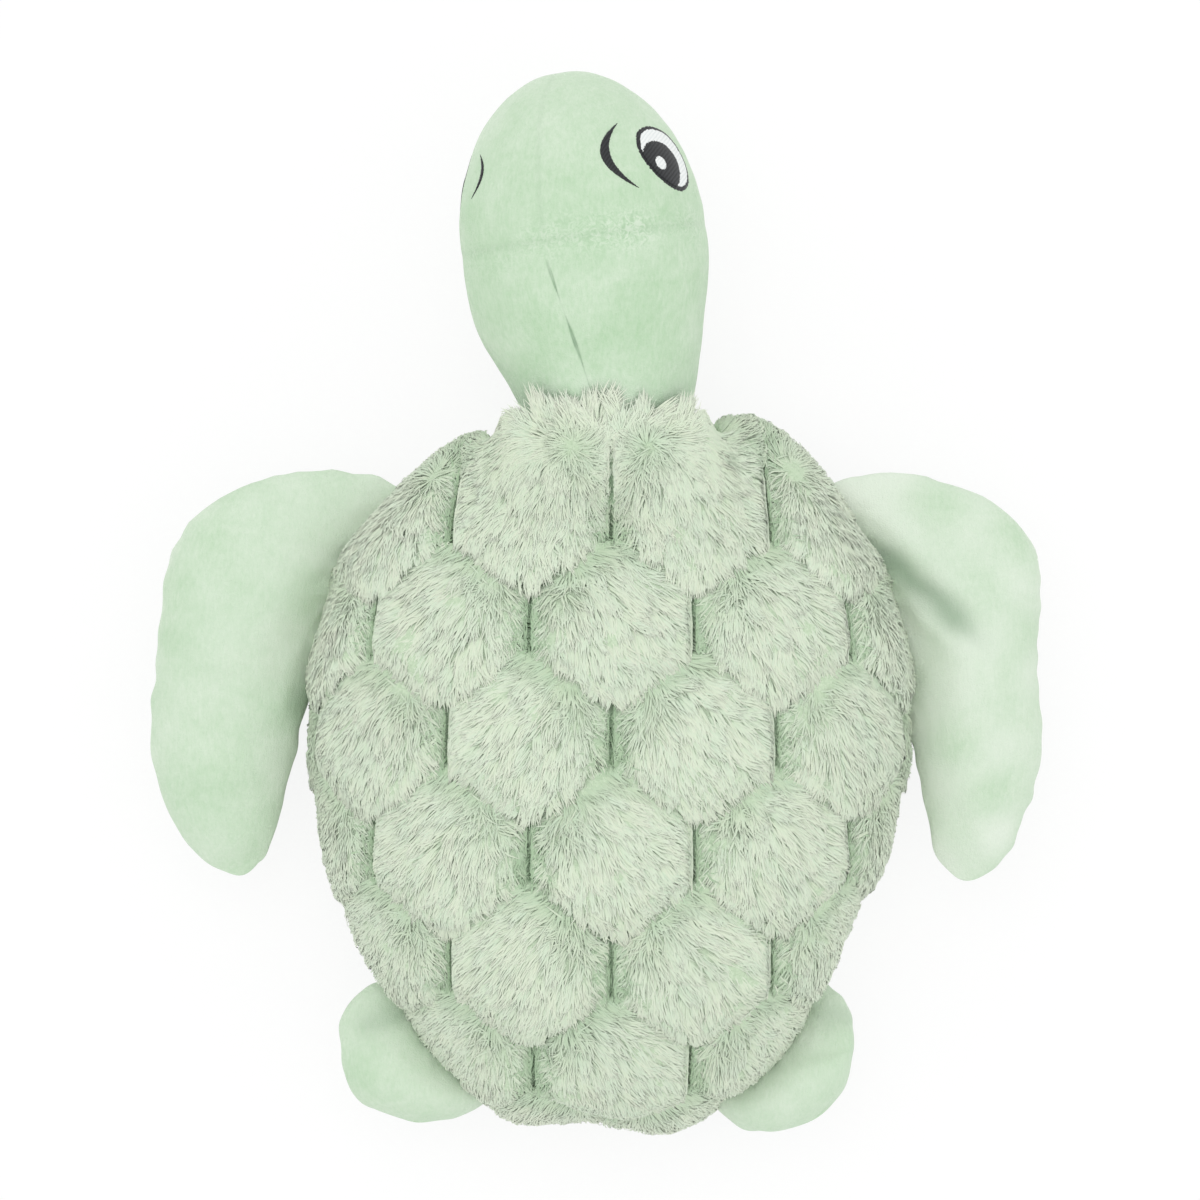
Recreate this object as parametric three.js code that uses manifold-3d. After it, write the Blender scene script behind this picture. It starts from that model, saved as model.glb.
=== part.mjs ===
// Stuffed turtle dog toy: long-pile shell, flat belly, turning head and four flippers, sewn and filled.
// Millimetres. It lies on its belly, with +Z up through the back and +Y towards the nose.
// The origin is the middle of the flat that it lies on.
import * as THREE from "three";
import { mergeVertices } from "three/addons/utils/BufferGeometryUtils.js";
import Module from "manifold-3d";

const wasm = await Module();
wasm.setup();

// Cloth, seams and clearances
const skinCloth = 1.4; // short-pile cloth of the head, neck and flippers
const bellyCloth = 2.6; // short-pile cloth of the belly, with its backing
const seamGap = 0.3; // between two panels that are sewn edge to edge
const fillGap = 0.3; // between a cover and the fibre inside it
const thinnest = 0.2; // least half thickness left where a filled edge runs out

// Body: an outline seen from above, with a dome over its side seam and a flat-bottomed dish under it
const bodyCentreY = -5;
const bodyRadii = [119, 134, 132, 119, 108, 105, 110, 121, 125]; // nose to tail, every 22.5 degrees
const seamHeight = 34; // side seam above the floor
const domeHeight = 76; // from the side seam to the top of the pile
const domeRoundness = 2.4; // 2 is an ellipse, and more is boxier
const dishRoundness = 3;
const restDepth = 0.5; // how much of the round belly is flattened by lying on it
const pileDepth = 8; // long pile at the middle of the back
const rimDepth = 2.5; // cover thickness at the side seam

// Scutes: rows of six-sided tufted plates, each row lying over the one behind it
const scuteWidth = 60;
const rowPitch = 42.3;
const firstRowY = 121.3; // front edge of the front row
const scutePoint = 8.5; // how far a plate's rear corner reaches past the middle of its edge
const scuteLift = 5; // height of a plate's rear edge over the next row
const slitDepth = 3.5; // depth of the slit between two plates of a row
const shortRow = 0.2; // share of a row under which the last one isn't made
const stepRun = 0.06; // share of a row that the step down to it takes
const keptShare = 0.82; // inside this share of the outline, plates keep their true size

// Neck and head: a surface of revolution with a slightly low, wide section
const neckAhead = 2; // from the body's outline to the neck's pivot
const neckY = bodyCentreY + bodyRadii[0] + neckAhead;
const neckZ = 52;
const neckRadius = 31;
const neckLength = 83.4; // from the neck's pivot to the cross seam of the head
const neckFullness = 1.15; // over 1 keeps the neck wide for longer behind the head
const headRadius = 46.2;
const crownLength = 63.7; // from the cross seam to the nose
const headFlatness = 0.92; // height over width
const headLean = 7.2; // degrees to the left, seen from above
const headRoll = -20; // degrees about its own length
const noseAngle = 2.5; // degrees of the small round opening that the seams meet at
const rootAngle = 70; // degrees of the round neck end that sits in the body
const cheekAngle = 115; // from the top of the head round to the seam of the chin
const headRings = 7;
const neckRings = 5;
const rootRings = 4;
const headFacets = 24;
const nodUp = 30;
const nodDown = 20;
const nodMargin = 3; // degrees of room past the nod's limits
const pocketGap = 0.9; // between the round neck end and the pocket in the body
const pocketSide = 5; // room beside the neck where it nods

// Eyes and brows, in satin stitch
const stitchDepth = 1; // height of the thread over the cloth
const stitchGap = 0.3;
const stitchStep = 0.1; // the pupil's thread lies this much lower than the line round the eye
const patchPoints = 16; // round the edge of an oval patch of thread
const patchRings = [0.08, 0.55, 1]; // shares of its size, from the middle out
const cutPast = 2; // how far a cut reaches over and under the thread
const eyeDistance = 37.8; // from the nose, along the head's length
const eyeAngle = 73.8; // from the top of the head
const eyeLength = 29.4;
const eyeWidth = 24.6;
const eyeSlant = 48; // degrees that the long axis leans away from the head's length
const eyeLine = 1.6; // width of the black line round the eye
const pupilSize = 19;
const pupilPlace = new THREE.Vector2(-1.3, -5.2); // from the eye's middle, along and across its long axis
const glintSize = 5.2;
const glintPlace = new THREE.Vector2(-2.7, -6.1);
const browDistance = 35.5;
const browAngle = 48.6; // of the line between the brow's two tips
const browLength = 27;
const browBend = 9.4;
const browWidth = 3.8;
const browTip = 0.5;

// Front flippers: a crescent swept back along the body
const frontFlipper = {
  rootAngle: 39.5, // where the root's middle meets the outline, from the body's right
  rootSpan: 26, // degrees of the outline that the root takes
  bends: [new THREE.Vector2(44, 11), new THREE.Vector2(49.6, -65.2), new THREE.Vector2(35.3, -118.1)],
  outerWidths: [31, 39.3, 28.1, 24.5, 17, 5],
  innerWidths: [27, 30, 32.5, 26, 17, 7],
  heights: [1.8, 14.5, 18, 14.5, 9, 0.8],
  rings: 10,
  facets: 8,
};
// How each front one lies: degrees that it stands out from the body, and millimetres that its crescent bows
const frontPose = { left: { splay: 1.5, bow: 2.5 }, right: { splay: -1.5, bow: -2.5 } };

// Rear flippers: short round paddles
const rearFlipper = {
  rootAngle: -56,
  rootSpan: 26,
  bends: [new THREE.Vector2(7.1, -8.3), new THREE.Vector2(6.8, -15.4), new THREE.Vector2(10.1, -31)],
  outerWidths: [26, 34, 31, 25.5, 19.7, 6],
  innerWidths: [26, 29, 31, 26.5, 18, 5],
  heights: [1.8, 9, 12.5, 12, 8, 0.8],
  rings: 7,
  facets: 8,
};
const rearPose = { left: { splay: 0, bow: 1 }, right: { splay: 0, bow: -6 } };
const widthStations = [0, 0.25, 0.5, 0.75, 0.9, 1]; // shares of a flipper's length
const coreGap = 0.6; // between a flipper's cover and the fibre in it
const rootGap = 0.6; // between the body's side seam and a flipper sewn to it
const rootRise = 0.85; // steepest rise of a flipper's faces away from the body
const rootFade = 0.35; // share of a flipper over which its root's curve fades out
const bulgeRoundness = 0.6; // power of the rounded section, where 0.5 is an ellipse
const tipCrowding = 1.4; // over 1 sets the rings closer together towards the tip
const tipInset = 1.5; // how far the fibre stops short of the tip, in depths of its cover

// Squeaker: a blow-moulded case with a reed pressed into its top
const squeakerY = -15;
const squeakerRadius = 24;
const squeakerHeight = 21;
const squeakerWall = 1.2;
const reedRadius = 4;
const reedBore = 2.4;
const reedLength = 9;
const reedFlange = 2;
const reedFlangeDepth = 1;
const squeakerCorner = 4;
const squeakerSides = 24;

const degrees = Math.PI / 180;
const sides = ["left", "right"];

const materials = {
  longPile: { color: 0xcdd9c4, roughness: 0.95 },
  shortPile: { color: 0xcfe3cc, roughness: 0.85 },
  fibre: { color: 0xf4f4f1, roughness: 1 },
  blackThread: { color: 0x3f4143, roughness: 0.55 },
  whiteThread: { color: 0xf3f5f1, roughness: 0.55 },
  softPlastic: { color: 0xe8e8e2, roughness: 0.4 },
  hardPlastic: { color: 0xd6d7d0, roughness: 0.35 },
};

const toy = new THREE.Group();

function addPiece(parent, name, geometry, material) {
  const surface = new THREE.MeshStandardMaterial({ ...materials[material], metalness: 0 });
  const mesh = new THREE.Mesh(geometry, surface);
  mesh.name = name;
  parent.add(mesh);
}

const sideSign = (side) => (side === "left" ? -1 : 1);
const mix = (a, b, share) => a + (b - a) * share;

// A smooth curve through values at given stations, read at one place: cubic pieces with matched slopes.
function smoothThrough(stations, values, place) {
  const last = stations.length - 1;
  let k = 0;
  while (k < last - 1 && place > stations[k + 1]) k++;
  const slopeAt = (i) => {
    const before = Math.max(i - 1, 0);
    const after = Math.min(i + 1, last);
    return (values[after] - values[before]) / (stations[after] - stations[before]);
  };
  const run = stations[k + 1] - stations[k];
  const t = (place - stations[k]) / run;
  const rise = values[k + 1] - values[k];
  const start = slopeAt(k) * run;
  const end = slopeAt(k + 1) * run;
  return values[k] + t * (start + t * (3 * rise - 2 * start - end + t * (start + end - 2 * rise)));
}

// A closed geometry from points and triangles, turned outwards if its volume comes out negative.
function closedGeometry(points, triangles) {
  let volume = 0;
  const normal = new THREE.Vector3();
  for (const [a, b, c] of triangles) volume += points[a].dot(normal.crossVectors(points[b], points[c]));
  const faces = volume < 0 ? triangles.map(([a, b, c]) => [a, c, b]) : triangles;
  const geometry = new THREE.BufferGeometry();
  geometry.setAttribute("position", new THREE.Float32BufferAttribute(points.flatMap((p) => p.toArray()), 3));
  geometry.setIndex(faces.flat());
  return geometry;
}

// The wall between two surfaces that share a grid: both sheets, and a strip round their edges.
function slab(columns, rows, outer, inner) {
  const points = [];
  const triangles = [];
  const width = columns + 1;
  const sheet = width * (rows + 1);
  for (const surface of [outer, inner])
    for (let row = 0; row <= rows; row++)
      for (let column = 0; column <= columns; column++) points.push(surface(column, row));
  const quad = (a, b, c, d) => triangles.push([a, b, c], [a, c, d]);
  for (let row = 0; row < rows; row++)
    for (let column = 0; column < columns; column++) {
      const corner = row * width + column;
      quad(corner, corner + 1, corner + width + 1, corner + width);
      quad(sheet + corner, sheet + corner + width, sheet + corner + width + 1, sheet + corner + 1);
    }
  for (let column = 0; column < columns; column++) {
    const far = rows * width + column;
    quad(column + 1, column, sheet + column, sheet + column + 1);
    quad(far, far + 1, sheet + far + 1, sheet + far);
  }
  for (let row = 0; row < rows; row++) {
    const near = row * width;
    const far = near + columns;
    quad(near, near + width, sheet + near + width, sheet + near);
    quad(far + width, far, sheet + far, sheet + far + width);
  }
  return closedGeometry(points, triangles);
}

// A closed body through a row of loops with as many points each, its two ends capped from their middles.
function loft(loops) {
  const points = loops.flat();
  const triangles = [];
  const count = loops[0].length;
  for (let k = 0; k < loops.length - 1; k++)
    for (let i = 0; i < count; i++) {
      const here = k * count + i;
      const next = k * count + ((i + 1) % count);
      triangles.push([here, next, next + count], [here, next + count, here + count]);
    }
  for (const [loop, start, reverse] of [
    [loops[0], 0, true],
    [loops.at(-1), (loops.length - 1) * count, false],
  ]) {
    const middle = loop.reduce((sum, p) => sum.add(p), new THREE.Vector3()).divideScalar(count);
    const centre = points.push(middle) - 1;
    for (let i = 0; i < count; i++) {
      const a = start + i;
      const b = start + ((i + 1) % count);
      triangles.push(reverse ? [centre, b, a] : [centre, a, b]);
    }
  }
  return closedGeometry(points, triangles);
}

// The same geometry with its shared points merged.
function sharedPoints(geometry) {
  const bare = geometry.clone();
  bare.deleteAttribute("normal");
  bare.deleteAttribute("uv");
  return mergeVertices(bare, 1e-4);
}

// A geometry as a solid that can be cut and joined, and back again.
function toSolid(geometry) {
  const merged = sharedPoints(geometry);
  return new wasm.Manifold(
    new wasm.Mesh({
      numProp: 3,
      vertProperties: new Float32Array(merged.attributes.position.array),
      triVerts: new Uint32Array(merged.index.array),
    }),
  );
}

function toGeometry(solid) {
  const mesh = solid.getMesh();
  const geometry = new THREE.BufferGeometry();
  geometry.setAttribute("position", new THREE.Float32BufferAttribute(mesh.vertProperties, 3));
  geometry.setIndex(new THREE.BufferAttribute(mesh.triVerts, 1));
  return geometry;
}

// Body outline

const radiusStations = bodyRadii.map((_, i) => 90 - (180 * i) / (bodyRadii.length - 1)).reverse();
const radiusValues = [...bodyRadii].reverse();

function outlineRadius(angle) {
  const tilt = Math.asin(Math.sin(angle)) / degrees; // both sides of the toy are alike
  return smoothThrough(radiusStations, radiusValues, tilt);
}

// A point of the outline, moved outwards by a clearance.
function outlinePoint(angle, clearance) {
  const reach = outlineRadius(angle) + clearance;
  return new THREE.Vector2(Math.cos(angle) * reach, bodyCentreY + Math.sin(angle) * reach);
}

// Scute grid: columns stand a quarter of a plate apart, and each row has a front, a middle and a rear line

const radiusStep = Math.PI / (bodyRadii.length - 1);
const halfWidth = Math.max(...bodyRadii.map((radius, i) => radius * Math.sin(i * radiusStep)));
const columnStep = scuteWidth / 4;
const sideColumns = Math.ceil(halfWidth / columnStep);
const bodyLength = firstRowY - (bodyCentreY - bodyRadii.at(-1));
const rowCount = Math.ceil(bodyLength / rowPitch - shortRow);
const rearEdgeY = firstRowY - rowCount * rowPitch;
const gridColumns = 2 * sideColumns;
const lineShares = [stepRun, 0.5, 1];
const gridLines = lineShares.length * rowCount - 1;

// 1 on the slits of a row, -1 on the middles of its plates, 0 halfway.
const slitWave = (column, row) => Math.cos((Math.PI / 2) * (column - sideColumns - 2 * (row % 2)));

// A row's rear edge runs in a zigzag: back at each plate's middle and forward at each slit.
function edgeY(column, edge) {
  const straight = edge === 0 || edge === rowCount;
  const zigzag = straight ? 0 : scutePoint * slitWave(column, edge - 1);
  return firstRowY - edge * rowPitch + zigzag;
}

function gridPoint(column, line) {
  const row = Math.floor(line / lineShares.length);
  const share = line === 0 ? 0 : lineShares[line % lineShares.length];
  const y = mix(edgeY(column, row), edgeY(column, row + 1), share);
  const x = (column - sideColumns) * columnStep;
  return { x, y, row, share };
}

// Where a grid point lands inside the outline: its direction, and its share of the way to the edge.
// Points near the middle stay where they are, and the outer ones close up so the grid ends on the outline.
function placeInOutline(column, line) {
  const { x, y, row, share } = gridPoint(column, line);
  const up = y - bodyCentreY;
  const angle = Math.atan2(up, x);
  const toSide = (sideColumns * columnStep) / Math.max(Math.abs(Math.cos(angle)), 1e-6);
  const endReach = up > 0 ? firstRowY - bodyCentreY : bodyCentreY - rearEdgeY;
  const toEnd = endReach / Math.max(Math.abs(Math.sin(angle)), 1e-6);
  const border = Math.min(toSide, toEnd) / outlineRadius(angle);
  const reach = Math.hypot(x, up) / outlineRadius(angle);
  const closing = (1 - keptShare) / (border - keptShare);
  const edge = column === 0 || column === gridColumns || line === 0 || line === gridLines;
  const out = edge ? 1 : Math.min(reach < keptShare ? reach : keptShare + (reach - keptShare) * closing, 1);
  return { angle, out, row, share, column };
}

const roundOff = (out, roundness) => (1 - out ** roundness) ** (1 / roundness);

// A surface over the grid, drawn in from the outline by an inset, with its height from a function.
function bodySurface(inset, heightAt) {
  return (column, line) => {
    const place = placeInOutline(column, line);
    const spot = outlinePoint(place.angle, -inset);
    const x = spot.x * place.out;
    const y = bodyCentreY + (spot.y - bodyCentreY) * place.out;
    return new THREE.Vector3(x, y, heightAt(place));
  };
}

function scuteRelief({ out, row, share, column }) {
  const slit = (1 + slitWave(column, row)) / 2;
  return (scuteLift * share - slitDepth * slit) * (1 - out ** 6);
}

function coverTop(place) {
  const dome = domeHeight * roundOff(place.out, domeRoundness);
  return seamHeight + seamGap / 2 + dome + scuteRelief(place);
}

const underCover = (depth) => (place) =>
  seamHeight + seamGap / 2 + (domeHeight - pileDepth - depth) * roundOff(place.out, domeRoundness);

function bellyBottom({ out }) {
  const seam = seamHeight - seamGap / 2;
  return Math.max(0, seam - (seam + restDepth) * roundOff(out, dishRoundness));
}

const overBelly = (depth) => (place) => {
  const seam = seamHeight - seamGap / 2;
  return seam - (seam - depth) * roundOff(place.out, dishRoundness);
};

// Room for the neck: its round end, and the wedge that it sweeps as it nods

function neckRoom() {
  const ball = new THREE.SphereGeometry(neckRadius + pocketGap, 24, 16);
  ball.translate(0, neckY, neckZ);
  const far = 4 * neckRadius;
  const wedge = new THREE.Shape();
  const ray = (angle) => [far * Math.cos(angle * degrees), far * Math.sin(angle * degrees)];
  wedge.moveTo(0, 0);
  wedge.lineTo(...ray(-90 - nodDown - nodMargin));
  wedge.lineTo(far, -far);
  wedge.lineTo(far, far);
  wedge.lineTo(...ray(90 + nodUp + nodMargin));
  const width = 2 * (neckRadius + pocketSide);
  const sweep = new THREE.ExtrudeGeometry(wedge, { depth: width, bevelEnabled: false });
  sweep.rotateY(Math.PI / 2);
  sweep.rotateX(Math.PI / 2);
  sweep.translate(-width / 2, neckY, neckZ);
  return toSolid(ball).add(toSolid(sweep));
}

function addBody() {
  const room = neckRoom();
  const cut = (geometry) => toGeometry(toSolid(geometry).subtract(room));
  const cover = slab(
    gridColumns,
    gridLines,
    bodySurface(0, coverTop),
    bodySurface(rimDepth, underCover(0)),
  );
  addPiece(toy, "shell_cover", cut(cover), "longPile");

  const belly = slab(
    gridColumns,
    gridLines,
    bodySurface(0, bellyBottom),
    bodySurface(bellyCloth, overBelly(bellyCloth)),
  );
  addPiece(toy, "belly_cover", cut(belly), "shortPile");

  const inset = Math.max(rimDepth, bellyCloth) + 2 * fillGap;
  const filling = slab(
    gridColumns,
    gridLines,
    bodySurface(inset, underCover(2 * fillGap)),
    bodySurface(inset, overBelly(bellyCloth + fillGap)),
  );
  const pocketHeight = squeakerHeight + reedFlangeDepth + 2 * fillGap;
  const pocketTop = bellyCloth + fillGap + pocketHeight;
  const pocket = new THREE.CylinderGeometry(
    squeakerRadius + 2 * fillGap,
    squeakerRadius + 2 * fillGap,
    pocketTop,
    squeakerSides,
  );
  pocket.rotateX(Math.PI / 2);
  pocket.translate(0, squeakerY, pocketTop / 2);
  const hollowed = toSolid(filling).subtract(room).subtract(toSolid(pocket));
  addPiece(toy, "body_filling", toGeometry(hollowed), "fibre");
}

// A solid of revolution about +Z from a closed profile of radius and height.
function turned(profile, base) {
  const outline = [...profile, profile[0]].map(([r, z]) => new THREE.Vector2(r, z));
  const geometry = new THREE.LatheGeometry(outline, squeakerSides);
  geometry.rotateX(Math.PI / 2);
  geometry.translate(0, squeakerY, base);
  const merged = sharedPoints(geometry);
  const position = merged.attributes.position;
  const points = Array.from({ length: position.count }, (_, i) =>
    new THREE.Vector3().fromBufferAttribute(position, i),
  );
  const triangles = [];
  for (let i = 0; i < merged.index.count; i += 3)
    triangles.push([merged.index.getX(i), merged.index.getX(i + 1), merged.index.getX(i + 2)]);
  return closedGeometry(points, triangles);
}

function addSqueaker() {
  const base = bellyCloth + fillGap;
  const r = squeakerRadius;
  const top = squeakerHeight;
  const wall = squeakerWall;
  const corner = squeakerCorner;
  const hole = reedRadius + fillGap;
  const waist = r - corner / 2;
  const shell = [
    [0, 0],
    [r - corner, 0],
    [r, corner],
    [waist, top / 2],
    [r, top - corner],
    [r - corner, top],
    [hole, top],
    [hole, top - wall],
    [r - corner - wall, top - wall],
    [r - wall, top - corner],
    [waist - wall, top / 2],
    [r - wall, corner],
    [r - corner - wall, wall],
    [0, wall],
  ];
  addPiece(toy, "squeaker_case", turned(shell, base), "softPlastic");
  const reed = [
    [reedBore, fillGap + reedFlangeDepth],
    [reedBore, -reedLength],
    [reedRadius, -reedLength],
    [reedRadius, fillGap],
    [reedRadius + reedFlange, fillGap],
    [reedRadius + reedFlange, fillGap + reedFlangeDepth],
  ];
  addPiece(toy, "squeaker_reed", turned(reed, base + top), "hardPlastic");
}

// Head and neck, in the head's own frame: +Y to the nose, +Z through the crown, origin on the neck's pivot

const headGroup = new THREE.Group();
headGroup.position.set(0, neckY, neckZ);
headGroup.rotation.z = headLean * degrees;
const rolledHead = new THREE.Group();
rolledHead.rotation.y = headRoll * degrees;
headGroup.add(rolledHead);
toy.add(headGroup);

// Profiles of distance ahead of the pivot and radius: a half-egg crown, a cosine neck and a round end.
const crownProfile = (share) => {
  const angle = mix(noseAngle, 90, share) * degrees;
  return [neckLength + crownLength * Math.cos(angle), headRadius * Math.sin(angle), headFlatness];
};
const neckProfile = (share) => {
  const swell = (1 + Math.cos(Math.PI * share ** neckFullness)) / 2;
  return [neckLength * (1 - share), mix(neckRadius, headRadius, swell), mix(1, headFlatness, swell)];
};
const rootProfile = (share) => {
  const angle = rootAngle * share * degrees;
  return [-neckRadius * Math.sin(angle), neckRadius * Math.cos(angle), 1];
};

// A profile moved square to itself, inwards for a positive depth.
function sunk(profile, share, depth) {
  const step = 1e-3;
  const [aheadA, radiusA] = profile(Math.max(share - step, 0));
  const [aheadB, radiusB] = profile(Math.min(share + step, 1));
  const run = Math.hypot(aheadB - aheadA, radiusB - radiusA);
  const [ahead, radius, flatness] = profile(share);
  const sunkAhead = ahead - (depth * (radiusB - radiusA)) / run;
  const sunkRadius = radius - (depth * (aheadA - aheadB)) / run;
  return [sunkAhead, Math.max(sunkRadius, thinnest), flatness];
}

const onHead = ([ahead, radius, flatness], angle) =>
  new THREE.Vector3(radius * Math.sin(angle), ahead, radius * flatness * Math.cos(angle));

// The stations of one body of the head, from its front edge to its rear edge.
const crownStations = Array.from({ length: headRings + 1 }, (_, i) => [crownProfile, i / headRings]);
const neckStations = [
  ...Array.from({ length: neckRings }, (_, i) => [neckProfile, i / neckRings]),
  ...Array.from({ length: rootRings + 1 }, (_, i) => [rootProfile, i / rootRings]),
];

// At the cross seam the crown and the nape each stop half a seam short of it.
function seamed(stations, depth) {
  return stations.map(([profile, share]) => {
    const [ahead, radius, flatness] = sunk(profile, share, depth);
    const fromSeam = ahead - neckLength;
    const front = profile === crownProfile;
    const kept = front ? Math.max(fromSeam, seamGap / 2) : Math.min(fromSeam, -seamGap / 2);
    return [neckLength + kept, radius, flatness];
  });
}

// The panels go round the head from seam to seam, and the fibre inside follows the same facets.
const panelSpans = {
  left: [-cheekAngle, 0],
  right: [0, cheekAngle],
  under: [cheekAngle, 360 - cheekAngle],
};
const facetsOver = ([from, to]) => Math.round((headFacets * (to - from)) / 360);

function headPanel(stations, span) {
  const [from, to] = span;
  const facets = facetsOver(span);
  const rings = stations.length - 1;
  const surface = (depth) => {
    const profile = seamed(stations, depth);
    return (column, row) => {
      const radius = Math.max(profile[row][1], seamGap);
      const margin = seamGap / 2 / radius;
      const angle = mix(from * degrees + margin, to * degrees - margin, column / facets);
      return onHead(profile[row], angle);
    };
  };
  return slab(facets, rings, surface(0), surface(skinCloth));
}

function headFilling(stations) {
  const angles = Object.values(panelSpans).flatMap((span) => {
    const facets = facetsOver(span);
    return Array.from({ length: facets }, (_, i) => mix(...span, i / facets) * degrees);
  });
  const loops = seamed(stations, skinCloth + fillGap).map((profile) =>
    angles.map((angle) => onHead(profile, angle)),
  );
  return loft(loops);
}

function addHead() {
  for (const side of sides) {
    addPiece(rolledHead, `crown_${side}`, headPanel(crownStations, panelSpans[side]), "shortPile");
    addPiece(rolledHead, `nape_${side}`, headPanel(neckStations, panelSpans[side]), "shortPile");
  }
  addPiece(rolledHead, "chin", headPanel(crownStations, panelSpans.under), "shortPile");
  addPiece(rolledHead, "throat", headPanel(neckStations, panelSpans.under), "shortPile");
  addPiece(rolledHead, "head_filling", headFilling(crownStations), "fibre");
  addPiece(rolledHead, "neck_filling", headFilling(neckStations), "fibre");
}

// A place on the crown, given by steps along the head and round it from a spot, at a height over the cloth.
function overCrown(side, distance, angle, along, round, height) {
  const spot = Math.acos(1 - distance / crownLength);
  const pace = Math.hypot(crownLength * Math.sin(spot), headRadius * Math.cos(spot));
  const bend = spot + along / pace;
  const ring = [neckLength + crownLength * Math.cos(bend), headRadius * Math.sin(bend), headFlatness];
  const turn = angle * degrees + round / ring[1];
  const steepness = [Math.cos(bend) / crownLength, Math.sin(bend) / headRadius, 1 / headFlatness];
  const outwards = onHead(steepness, sideSign(side) * turn).normalize();
  return onHead(ring, sideSign(side) * turn).addScaledVector(outwards, height);
}

// An oval patch of thread on the crown, between two heights, at a place in the eye's own slanted axes.
function ovalPatch(side, { length, width, place = new THREE.Vector2() }, low, high) {
  const slant = eyeSlant * degrees;
  const ring = (share, height) =>
    Array.from({ length: patchPoints }, (_, i) => {
      const turn = (2 * Math.PI * i) / patchPoints;
      const spot = new THREE.Vector2((length / 2) * Math.cos(turn), (width / 2) * Math.sin(turn));
      spot.multiplyScalar(share).add(place).rotateAround(new THREE.Vector2(), slant);
      return overCrown(side, eyeDistance, eyeAngle, spot.x, spot.y, height);
    });
  const top = patchRings.map((share) => ring(share, high));
  const bottom = [...patchRings].reverse().map((share) => ring(share, low));
  return toSolid(loft([...top, ...bottom]));
}

// The line round the eye and the pupil are black, the pupil stops at the line, and both hold the white.
function addEye(side) {
  const low = stitchGap;
  const high = stitchGap + stitchDepth;
  const grown = (oval, by) => ({ ...oval, length: oval.length + 2 * by, width: oval.width + 2 * by });
  const whole = { length: eyeLength, width: eyeWidth };
  const opening = grown(whole, -eyeLine);
  const pupil = { length: pupilSize, width: pupilSize, place: pupilPlace };
  const glint = { length: glintSize, width: glintSize, place: glintPlace };
  const cutter = (oval) => ovalPatch(side, oval, low - cutPast, high + cutPast);
  const line = ovalPatch(side, whole, low, high).subtract(cutter(opening));
  const disc = ovalPatch(side, pupil, low + stitchStep, high - stitchStep);
  const pupilInside = disc.intersect(cutter(grown(whole, -eyeLine / 2)));
  const black = line.add(pupilInside).subtract(cutter(grown(glint, stitchGap)));
  const inside = ovalPatch(side, grown(opening, -stitchGap), low, high);
  const white = inside.subtract(cutter(grown(pupil, stitchGap)));
  addPiece(rolledHead, `eye_black_${side}`, toGeometry(black), "blackThread");
  addPiece(rolledHead, `eye_white_${side}`, toGeometry(white), "whiteThread");
  addPiece(rolledHead, `eye_glint_${side}`, toGeometry(ovalPatch(side, glint, low, high)), "whiteThread");
}

// A brow is a crescent that bulges towards the top of the head and thins to both ends.
function addBrow(side) {
  const rows = 8;
  const columns = 2;
  const surface = (height) => (column, row) => {
    const share = (2 * row) / rows - 1;
    const width = mix(browTip, browWidth, 1 - share * share);
    const along = (browLength / 2) * share;
    const round = browBend * (share * share - 1) + width * (column / columns - 0.5);
    return overCrown(side, browDistance, browAngle, along, round, height);
  };
  const brow = slab(columns, rows, surface(stitchGap + stitchDepth), surface(stitchGap));
  addPiece(rolledHead, `brow_${side}`, brow, "blackThread");
}

// Flippers: two panels over a filled core, thin where they are sewn to the body's side seam

function flipperSurface(shape, side, { splay, bow }) {
  const sign = sideSign(side);
  const rootMiddle = outlinePoint(shape.rootAngle * degrees, rootGap);
  const root = new THREE.Vector2();
  const bends = shape.bends.map((bend, i) => {
    const bowed = new THREE.Vector2(bend.x + (i < 2 ? bow : 0), bend.y);
    return bowed.rotateAround(root, splay * degrees).add(rootMiddle);
  });
  const spine = new THREE.CubicBezierCurve(rootMiddle, ...bends);
  return (share, across, height, depth) => {
    const along = spine.getTangent(share);
    const middle = spine.getPoint(share);
    const widths = across > 0 ? shape.outerWidths : shape.innerWidths;
    const half = Math.max(smoothThrough(widthStations, widths, share) - depth, thinnest);
    const spread = across * half;
    const swept = new THREE.Vector2(middle.x - along.y * spread, middle.y + along.x * spread);
    const spot = besideBody(shape, swept, spread, share, depth);
    const thick = Math.max(smoothThrough(widthStations, shape.heights, share) - depth, thinnest);
    const pinched = Math.max(shape.heights[0] - depth, thinnest) + rootRise * beyondBody(spot);
    const bulge = Math.min(thick * (1 - across * across) ** bulgeRoundness, pinched);
    return new THREE.Vector3(sign * spot.x, spot.y, seamHeight + height * (seamGap / 2 + bulge));
  };
}

// The root follows the body's outline, the rest fades into the flipper's own sweep, and all stays outside.
function besideBody(shape, swept, spread, share, depth) {
  const fade = Math.max(0, 1 - share / rootFade) ** 2;
  const perMillimetre = shape.rootSpan / (shape.outerWidths[0] + shape.innerWidths[0]);
  const onRoot = outlinePoint((shape.rootAngle + spread * perMillimetre) * degrees, rootGap);
  const spot = swept.lerp(onRoot, fade);
  const clear = share > 0 ? depth : 0;
  const angle = Math.atan2(spot.y - bodyCentreY, spot.x);
  return beyondBody(spot) < clear ? outlinePoint(angle, rootGap + clear) : spot;
}

// How far a point lies outside the line that the flippers' roots follow.
function beyondBody(spot) {
  const up = spot.y - bodyCentreY;
  return Math.hypot(spot.x, up) - outlineRadius(Math.atan2(up, spot.x)) - rootGap;
}

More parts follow.
